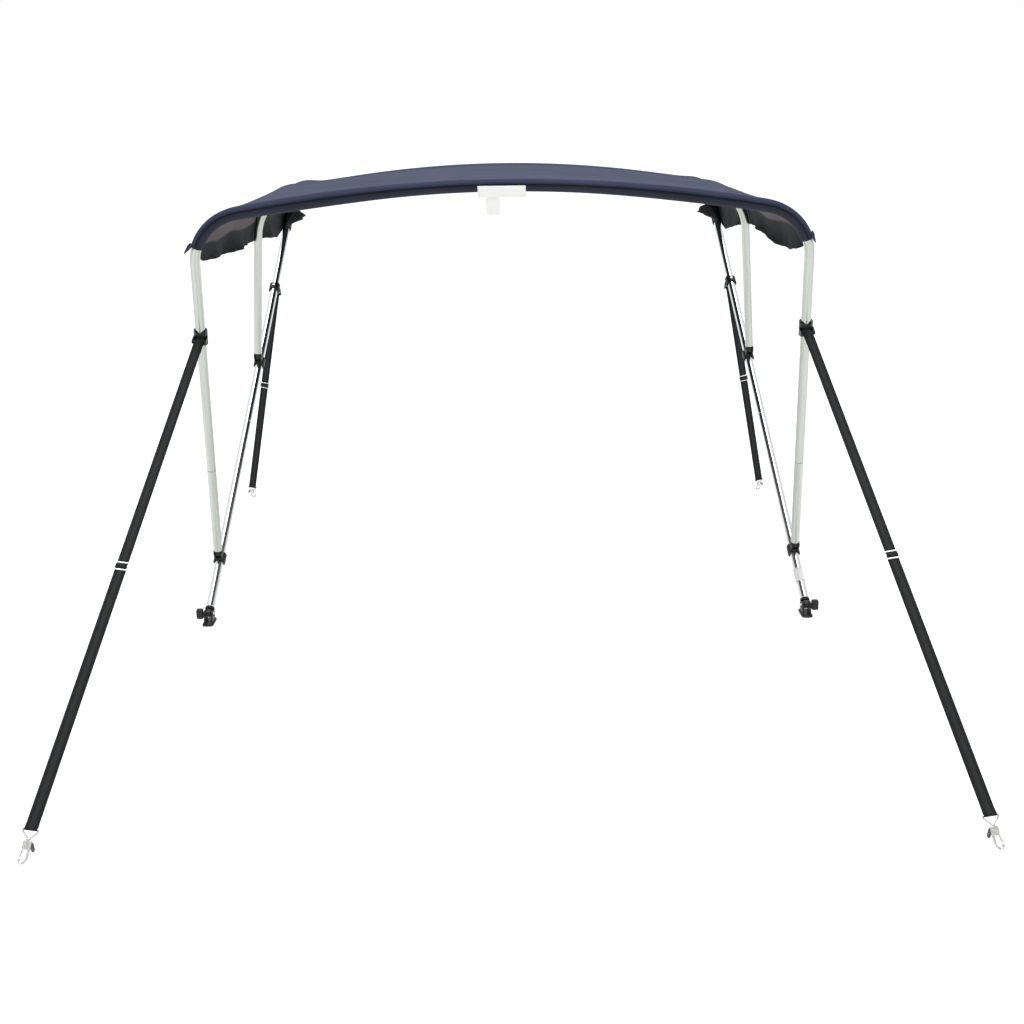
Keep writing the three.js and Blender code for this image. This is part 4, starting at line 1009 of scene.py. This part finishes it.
def jaw_slide():
    piece = Piece().add(band(JAW_LENGTH))
    eye = arc((JAW_REACH, 0), JAW_EYE_RADIUS, -80, 80)
    outline = [(8, 11.5), (8, -11.5), (JAW_REACH, -JAW_EYE_RADIUS), *eye, (JAW_REACH, JAW_EYE_RADIUS)]
    for side in (1, -1):
        piece.add(cheek(outline, side, JAW_CHEEK))
    pin_half = SLOT_HALF + JAW_CHEEK + 1.5
    piece.add(set_in(bar(PIN_RADIUS, -pin_half, pin_half), RIGHT, BACK, UP, JAW_REACH * BACK))
    grip = slab(rectangle(14, 18, 3), 6)
    piece.add(set_in(grip, *Y_AWAY, (0, -BAND_RADIUS - 1.5, 0)))
    return piece.add(set_in(screw(4, 2.5), *ALONG_X, (7, -BAND_RADIUS - 1, 0)), 1)


def strap_slide(length, bar_axis):
    piece = Piece().add(band(length))
    eye = arc((STRAP_BAR_REACH, 0), LUG_HALF, -80, 80)
    for side in (1, -1):
        lug = slab([(6, LUG_HALF), (6, -LUG_HALF), (STRAP_BAR_REACH, -LUG_HALF), *eye], 4)
        piece.add(set_in(lug, *ALONG_X, side * STRAP_BAR_HALF * RIGHT))
    middle = STRAP_BAR_REACH * BACK
    reach = (STRAP_BAR_HALF + 1) * bar_axis
    ends = np.linspace(middle - reach, middle + reach, 4)
    piece.add(wire(ends, STRAP_BAR_RADIUS, unit(np.cross(bar_axis, UP)), sides=24))
    return piece.add(set_in(screw(4.5, 3), *Y_AWAY, (0, -BAND_RADIUS + 0.5, 0)), 1)


def tube_end(tube_start, height):
    """An eye for the pin with a moulded collar of some height under the tube."""
    top = tube_start - GAP
    foot = top - height
    neck = top - height / 2
    eye = [*arc((0, 0), END_EYE_RADIUS, 180, 360, 21), (END_NECK_HALF, neck), (-END_NECK_HALF, neck)]
    rim = min(0.8, height / 4)
    collar = [
        (9, foot), (COLLAR_RADIUS - 1.5, foot), (COLLAR_RADIUS - 0.3, foot + rim),
        (COLLAR_RADIUS, foot + 1.6 * rim), (COLLAR_RADIUS, top - rim), (COLLAR_RADIUS - rim, top),
    ]
    return Piece().add(set_in(slab(eye, END_EYE_WIDTH), *ALONG_X)).add(lathe(collar, 40))


def deck_hinge():
    """A base plate with two cheeks, about the middle of its pin, and the nut at the pin's inner end."""
    base_top = BASE_THICKNESS - PIVOT_HEIGHT
    base = slab(rectangle(*BASE_SIZE, 10), BASE_THICKNESS, 1.2)
    piece = Piece().add(set_in(base, RIGHT, BACK, UP, (0, 0, base_top - BASE_THICKNESS / 2)))
    eye = arc((0, 0), HINGE_EYE_RADIUS, 10, 170, 15)
    outline = [(HINGE_CHEEK_HALF, base_top - 1), *eye, (-HINGE_CHEEK_HALF, base_top - 1)]
    for side in (1, -1):
        piece.add(cheek(outline, side, HINGE_CHEEK))
    start = -SLOT_HALF - HINGE_CHEEK
    return piece.add(set_in(lathe([(NUT_RADIUS, start - 5), (NUT_RADIUS, start + 1)], 6), *ALONG_X), 1)


def hinge_knob():
    """A winged grip on a shank, with the pin that runs through the hinge."""
    width, length = GRIP_SIZE
    middle = GRIP_START + width / 2
    grip = slab(rectangle(width, length, 5), GRIP_THICKNESS, 1.6)
    piece = Piece().add(set_in(grip, *Y_AWAY, (middle, 0, 0)))
    rib = slab(rectangle(width - 6, 2.2, 1), 1.2, 0.4)
    for side in (1, -1):
        for up in GRIP_RIBS:
            piece.add(set_in(rib, *Y_AWAY, (middle, side * (GRIP_THICKNESS / 2 - 0.3), up)))
    piece.add(bar(SHANK_RADIUS, SLOT_HALF + HINGE_CHEEK + GAP, GRIP_START + 1))
    return piece.add(bar(PIN_RADIUS, -SLOT_HALF - HINGE_CHEEK - 3.2, GRIP_START))


SCREWED = [nylon_finish, steel_finish]


def level_axes(z_axis, y_hint):
    """The axes of a piece whose z runs along one line and whose y is near another."""
    z = unit(z_axis)
    x = unit(np.cross(y_hint, z))
    return x, np.cross(z, x), z


JAWS = (("lower", LOWER_JAW_AT), ("middle", MIDDLE_JAW_AT))
TUBE_ENDS = (
    ("front", front_bow, JAW_TUBE_START, JAW_COLLAR_HEIGHT),
    ("middle", middle_bow, JAW_TUBE_START, JAW_COLLAR_HEIGHT),
    ("main", main_bow, TUBE_START, MAIN_COLLAR_HEIGHT),
)
hinge_place = (RIGHT, BACK, UP, main_bow.foot)
for side, sign in SIDES.items():
    for name, at in JAWS:
        place = (*level_axes(main_bow.leg_up, main_bow.normal), main_bow.on_leg(at))
        jaw_slide().fit(side, f"{name}_jaw", f"{name}_jaw_slide", "black_nylon", SCREWED, place)
    for name, bow, tube_start, height in TUBE_ENDS:
        place = (*level_axes(bow.leg_up, np.cross(bow.leg_up, RIGHT)), bow.foot)
        end = tube_end(tube_start, height)
        end.fit(side, f"{name}_tube_end", f"{name}_bow_end", "black_nylon", nylon_finish, place)
    deck_hinge().fit(side, "hinge_base", "deck_hinge", "black_nylon", SCREWED, hinge_place)
    turned = hinge_knob().make(f"{side}_knob_grip", nylon_finish, sign, hinge_place)
    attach(turned, f"{side}_knob")
    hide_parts(f"{side}_hinge_knob")


# Straps, each with its slide, glide and hook

WEBBING = 1.2
LAYER = (STRAP_THICKNESS + GAP) / 2
LOOP_LENGTH = 14
TAIL_LENGTH = 38
HOOK_BAR_RADIUS = 2
GLIDE_PITCH = 9.35
GLIDE_RADIUS = 2
GLIDE_FLATNESS = 0.65
GLIDE_OUT = 3.15
HUMP_RISE = 4.9
HUMP_HALF = 8.6


def loop_around(x, towards, bar_radius):
    radius = bar_radius + GAP + STRAP_THICKNESS / 2
    start = acos(radius / hypot(LOOP_LENGTH, LAYER)) + atan2(LAYER, LOOP_LENGTH)
    angles = np.linspace(start, 2 * pi - start, 26)
    return [(x + towards * radius * cos(a), radius * sin(a)) for a in angles]


def straight(start, stop, step=18):
    count = max(2, round(dist(start, stop) / step))
    return [tuple(mix(np.array(start), np.array(stop), t)) for t in np.linspace(0, 1, count)[1:-1]]


def strap_path(length, glide_at):
    """The strap's line in its own plane: x down from the slide's bar, y out to the front."""
    shares = np.linspace(-1, 1, 25)
    hump = [(glide_at + HUMP_HALF * s, LAYER + HUMP_RISE * cos(pi / 2 * s) ** 2) for s in shares]
    tail, loop_top = (TAIL_LENGTH, -LAYER), (LOOP_LENGTH, -LAYER)
    upper = [(LOOP_LENGTH, LAYER), hump[0]]
    lower = [hump[-1], (length - LOOP_LENGTH, LAYER)]
    back = [(length - LOOP_LENGTH, -LAYER), (glide_at + HUMP_HALF - 1, -LAYER)]
    return np.array([
        tail, *straight(tail, loop_top, 6), loop_top, *loop_around(0, 1, STRAP_BAR_RADIUS)[::-1],
        upper[0], *straight(*upper), *hump, *straight(*lower), lower[1],
        *loop_around(length, -1, HOOK_BAR_RADIUS),
        back[0], *straight(*back), back[1], (glide_at + 3, 0.3), (glide_at - 4, 0.3),
    ])


def tri_glide():
    """Three bars between two rails, bent from one flattened wire."""
    half = STRAP_WIDTH / 2 + 0.6 + GLIDE_RADIUS
    outline = [(x, 0, z) for x, z in rectangle(2 * GLIDE_PITCH, 2 * half, 3.5)]
    middle = np.linspace(-half * UP, half * UP, 4)
    piece = Piece().add(wire(outline, GLIDE_RADIUS, BACK, closed=True)).add(wire(middle, GLIDE_RADIUS, BACK))
    piece.points = [points * (1, GLIDE_FLATNESS, 1) + (0, GLIDE_OUT, 0) for points in piece.points]
    return piece


# Outlines of the snap hook in its own plane: across, and up from its bar
EYE_HALF = [(13.2, 0), (14.6, -1.1), (15, -3.6), (13.9, -6.8), (9, -12), (2.5, -18)]
SWIVEL = [(2, -25), (4.6, -24), (5.4, -21.5), (5, -19), (3.8, -17), (3, -15.6), (1.5, -15)]
HOOK_SPINE = [
    (3.6, -37), (4.2, -46), (4.2, -54), (2.8, -60), (-0.8, -64.3), (-5.5, -65.7), (-9.6, -63), (-11, -57.6),
]
HOOK_BOLT = [(-6.5, -37), (-8.4, -46), (-10.3, -54.6)]
TRIGGER_OUTLINE = [(3, -25), (3, -36), (8.8, -36), (10, -40), (13.5, -43), (15.5, -38), (9, -25.5)]
HOOK_BODY_AT = -31


def in_front(line):
    return [(x, 0, z) for x, z in line]


def snap_hook():
    eye = in_front([*[(-x, z) for x, z in EYE_HALF[::-1]], *EYE_HALF])
    piece = Piece().add(wire(curve(eye), HOOK_BAR_RADIUS, BACK)).add(lathe(SWIVEL))
    for side in (1, -1):
        wall = slab(rectangle(17, 18, 5), 1.7, 0.5)
        piece.add(set_in(wall, *Y_AWAY, (-0.5, side * 3.15, HOOK_BODY_AT)))
    piece.add(set_in(slab(rectangle(7, 17, 2), 5, 0.4), *Y_AWAY, (-5, 0, HOOK_BODY_AT)))
    piece.add(wire(curve(in_front(HOOK_SPINE)), 2.8, BACK, sides=20))
    return piece.add(wire(in_front(HOOK_BOLT), 2, BACK))


def hook_trigger():
    return Piece().add(set_in(slab(softened(TRIGGER_OUTLINE[::-1], 1.5, 3), 4), *Y_AWAY))


# Each strap runs from a slide on its bow to its end, the middle of the hook's bar.
# The height of the end puts the hook's lowest point on the floor.
STRAPS = {
    "front": {
        "bow": front_bow, "at": FRONT_SLIDE_AT, "length": 40, "facing": np.cross(RIGHT, front_bow.up),
        "end": (926, -1231, 55.2846), "hook_way": (20, -37, -54), "glide_share": 0.53,
    },
    "rear": {
        "bow": main_bow, "at": REAR_SLIDE_AT, "length": 29, "facing": -main_bow.normal,
        "end": (938, 1256, 51.4826), "hook_way": (12, 45, -50), "glide_share": 0.45,
    },
}
for place, at in STRAPS.items():
    bow = at["bow"]
    slide_across = unit(np.cross(at["facing"], bow.leg_up))
    slide_out = np.cross(bow.leg_up, slide_across)
    slide_middle = bow.on_leg(at["at"])
    top_end = slide_middle + STRAP_BAR_REACH * slide_out
    bottom = np.array(at["end"])
    down = unit(bottom - top_end)
    across = unit(slide_across - (slide_across @ down) * down)
    out = np.cross(across, down)
    hook_up = -np.array(at["hook_way"], float)
    hook_up = unit(hook_up - (hook_up @ across) * across)
    hook_axes = (across, np.cross(hook_up, across), hook_up, bottom)
    length = np.linalg.norm(bottom - top_end)
    glide_at = length * at["glide_share"]
    facing = 1 if out @ (UP - BACK) > 0 else -1
    strap_axes = (down, facing * out, facing * across)
    bar_axis = np.array([across @ slide_across, across @ slide_out, across @ bow.leg_up])
    path = strap_path(length, glide_at)
    widths = np.linspace(-STRAP_WIDTH / 2, STRAP_WIDTH / 2, 7)
    slide_axes = (slide_across, slide_out, bow.leg_up, slide_middle)
    glide_axes = (*strap_axes, top_end + glide_at * down)
    parts = {
        "slide": (strap_slide(at["length"], bar_axis), "strap_slide", "black_nylon", SCREWED, slide_axes),
        "glide": (tri_glide(), "tri_glide", "bright_steel", steel_finish, glide_axes),
        "hook": (snap_hook(), "snap_hook", "bright_steel", steel_finish, hook_axes),
        "trigger": (hook_trigger(), "hook_trigger", "black_nylon", trigger_finish, hook_axes),
    }
    for side, sign in SIDES.items():
        rows = np.array([[(x, y, w) for w in widths * sign] for x, y in path])
        rows = flipped(rows @ np.array(strap_axes) + top_end, sign)
        strap = solid_cloth(f"{side}_{place}_strap_ribbon", rows, WEBBING, strap_finish)
        keep(strap, f"{side}_{place}_strap")
        made = {
            name: piece.fit(side, f"{place}_{name}", f"{place}_{node}", *rest)
            for name, (piece, node, *rest) in parts.items()
        }


# Labels and tabs

LABEL_THICKNESS = 0.8
LABEL_CURL = 0.25
LABEL_OFF = SLEEVE_RADIUS + SOLID_CLOTH_HALF + GAP
# Each label: how much further off the sleeve it is, its left and right edges, how low it starts, its length
LABELS = {
    "wide": (0.5, -56, 58, 0, 27),
    "narrow": (-0.9, -36, -4, 18, 49),
}
WRAP_THICKNESS = 0.7
WRAP_FLAT = (0.083, 0.042)
WRAP_RADIUS = TUBE_RADIUS + GAP + 0.5
TAB_THICKNESS = 0.8
TAB_LENGTH = 30
TAB_HALF = 7.5
TAB_TIP_HALF = 1.5
TAB_TAPER_AT = 12
TAB_TILT = {"right": 8, "left": 28}
TAB_TURN = radians(40)
TAB_STAND = 1.6
TAB_OVERLAP = {"right": 16, "left": 7}
seam_middle = sleeve_frame("front", np.array([0.0]))[0][0]


def hem_label(name, off, left, right, start, length):
    """A label that hangs by its upper edge in front of the front sleeve, with a slight curl."""
    width = right - left
    x = np.linspace(-width / 2, width / 2, 15)
    share = column(np.linspace(0, 1, 13))
    curl = LABEL_CURL * share**2 * np.sin(2.4 * x / width + 0.8)
    top = seam_middle + np.array([(left + right) / 2, -LABEL_OFF - off, -SOLID_CLOTH_HALF - start])
    rows = np.stack(np.broadcast_arrays(x, -length * share, curl), -1) @ np.array(Y_AWAY) + top
    label = solid_cloth(f"{name}_hem_label", rows, LABEL_THICKNESS, label_finish)
    return keep(label, f"hem_label_{name}")


def leg_wrap():
    """A blank label once round the right main leg, with its ends nearly meeting."""
    angles = np.linspace(0.06, 2 * pi - 0.02, 49)
    x, y = WRAP_RADIUS * np.cos(angles), WRAP_RADIUS * np.sin(angles)
    z = column(np.linspace(-0.5, 0.5, 9) * WRAP_FLAT[1] / MM)
    rows = np.stack(np.broadcast_arrays(x, y, z), -1) @ np.array(level_axes(main_bow.leg_up, BACK))
    return solid_cloth("leg_wrap", rows + main_bow.on_leg(WRAP_LABEL_AT), WRAP_THICKNESS, label_finish)


def sleeve_tab(side, sign):
    """The pointed end of the hem's tape, which stands off the lower end of the front sleeve."""
    middle, n, front, _, _ = (value[0] for value in sleeve_frame("front", np.array([float(COLUMNS)])))
    up = np.cross(front, n)
    face = cos(TAB_TURN) * n + sin(TAB_TURN) * front
    root = middle + (SLEEVE_RADIUS + TAB_STAND) * face + TAB_OVERLAP[side] * up
    tilt = radians(TAB_TILT[side])
    axes = level_axes(cos(tilt) * face + sin(tilt) * up, up)
    down = column(np.linspace(0, TAB_LENGTH, 16))
    half = np.interp(down, [TAB_TAPER_AT, TAB_LENGTH], [TAB_HALF, TAB_TIP_HALF])
    x = half * np.linspace(-1, 1, 9)
    curl = 0.5 * np.sin(down / 5) + 0.015 * x**2
    rows = flipped(np.stack(np.broadcast_arrays(x, -down, curl), -1) @ np.array(axes) + root, sign)
    tab = solid_cloth(f"{side}_tab", rows[:, ::sign], TAB_THICKNESS, hem_finish)
    return keep(tab, f"{side}_sleeve_tab")


hem_labels = [hem_label(name, *sizes) for name, sizes in LABELS.items()]
wrap = keep(leg_wrap(), "leg_wrap_label")
tabs = [sleeve_tab(side, sign) for side, sign in SIDES.items()]


# Floor, light and camera

FLOOR_HALF = 40.0
AMBIENT = 0.55
IMAGE_PIXELS = 1024
FOCAL_PIXELS = 1345
HORIZON_PIXEL = 112
MIDDLE_PIXEL = 506
CAMERA_PLACE = (0, -3550, 1369)
CAMERA_ROLL = radians(0.85)
SENSOR = 36


def floor():
    mesh = bpy.data.meshes.new("floor")
    corners = [(x * FLOOR_HALF, y * FLOOR_HALF, 0) for x, y in ((-1, -1), (1, -1), (1, 1), (-1, 1))]
    mesh.from_pydata(corners, [], [(0, 1, 2, 3)])
    finish = Finish("pale_floor", 0.9, Emission_Color=(1, 1, 1, 1), Emission_Strength=0.82)
    cloud = finish.noise(finish.place(of="Object"), 0.4)
    finish.link(finish.ramp(cloud, (0.3, 0.48), (0.7, 0.52)), "Base Color")
    mesh.materials.append(finish.material)
    in_scene("floor", mesh)


def soft_light(name, place, target, size, power):
    data = bpy.data.lights.new(name, "AREA")
    data.shape = "RECTANGLE"
    data.size, data.size_y = size
    data.energy = power
    way = Vector(target) - Vector(place)
    turn = way.to_track_quat("-Z", "Y").to_matrix().to_4x4()
    in_scene(name, data).matrix_world = Matrix.Translation(place) @ turn


def world_light():
    """White behind the object, softer for its shading, and a dark gap beside the overhead light."""
    world = bpy.data.worlds.new("studio")
    bpy.context.scene.world = world
    world.use_nodes = True
    nodes = Nodes(world.node_tree)
    across = nodes.axes(nodes.node("ShaderNodeTexCoord").outputs["Generated"])[0]
    gap = nodes.ramp(across, (0.0, 1.0), (0.32, 1.0), (0.345, 0.03), (0.385, 0.03), (0.41, 1.0), (1.0, 0.8))
    ray = nodes.node("ShaderNodeLightPath").outputs
    shiny = nodes.blend(ray["Is Glossy Ray"], (AMBIENT, AMBIENT, AMBIENT, 1), gap)
    seen = nodes.blend(ray["Is Camera Ray"], shiny, (1, 1, 1, 1))
    background = nodes.tree.nodes["Background"]
    nodes.tree.links.new(seen, background.inputs["Color"])
    background.inputs["Strength"].default_value = 1.0


def camera():
    data = bpy.data.cameras.new("camera")
    data.sensor_width = SENSOR
    data.lens = SENSOR * FOCAL_PIXELS / IMAGE_PIXELS
    data.shift_x = (IMAGE_PIXELS / 2 - MIDDLE_PIXEL) / IMAGE_PIXELS
    data.clip_end = 200
    pitch = atan((IMAGE_PIXELS / 2 - HORIZON_PIXEL) / FOCAL_PIXELS)
    made = in_scene("camera", data)
    made.matrix_world = (
        Matrix.Translation(Vector(to_frame(CAMERA_PLACE)))
        @ Matrix.Rotation(pi / 2 - pitch, 4, "X")
        @ Matrix.Rotation(-CAMERA_ROLL, 4, "Z")
    )
    bpy.context.scene.camera = made


floor()
world_light()
soft_light("overhead", (0, 0.3, 5), (0, 0.3, 0), (4.6, 5), 300)
camera()
bpy.context.scene.view_settings.view_transform = "Standard"
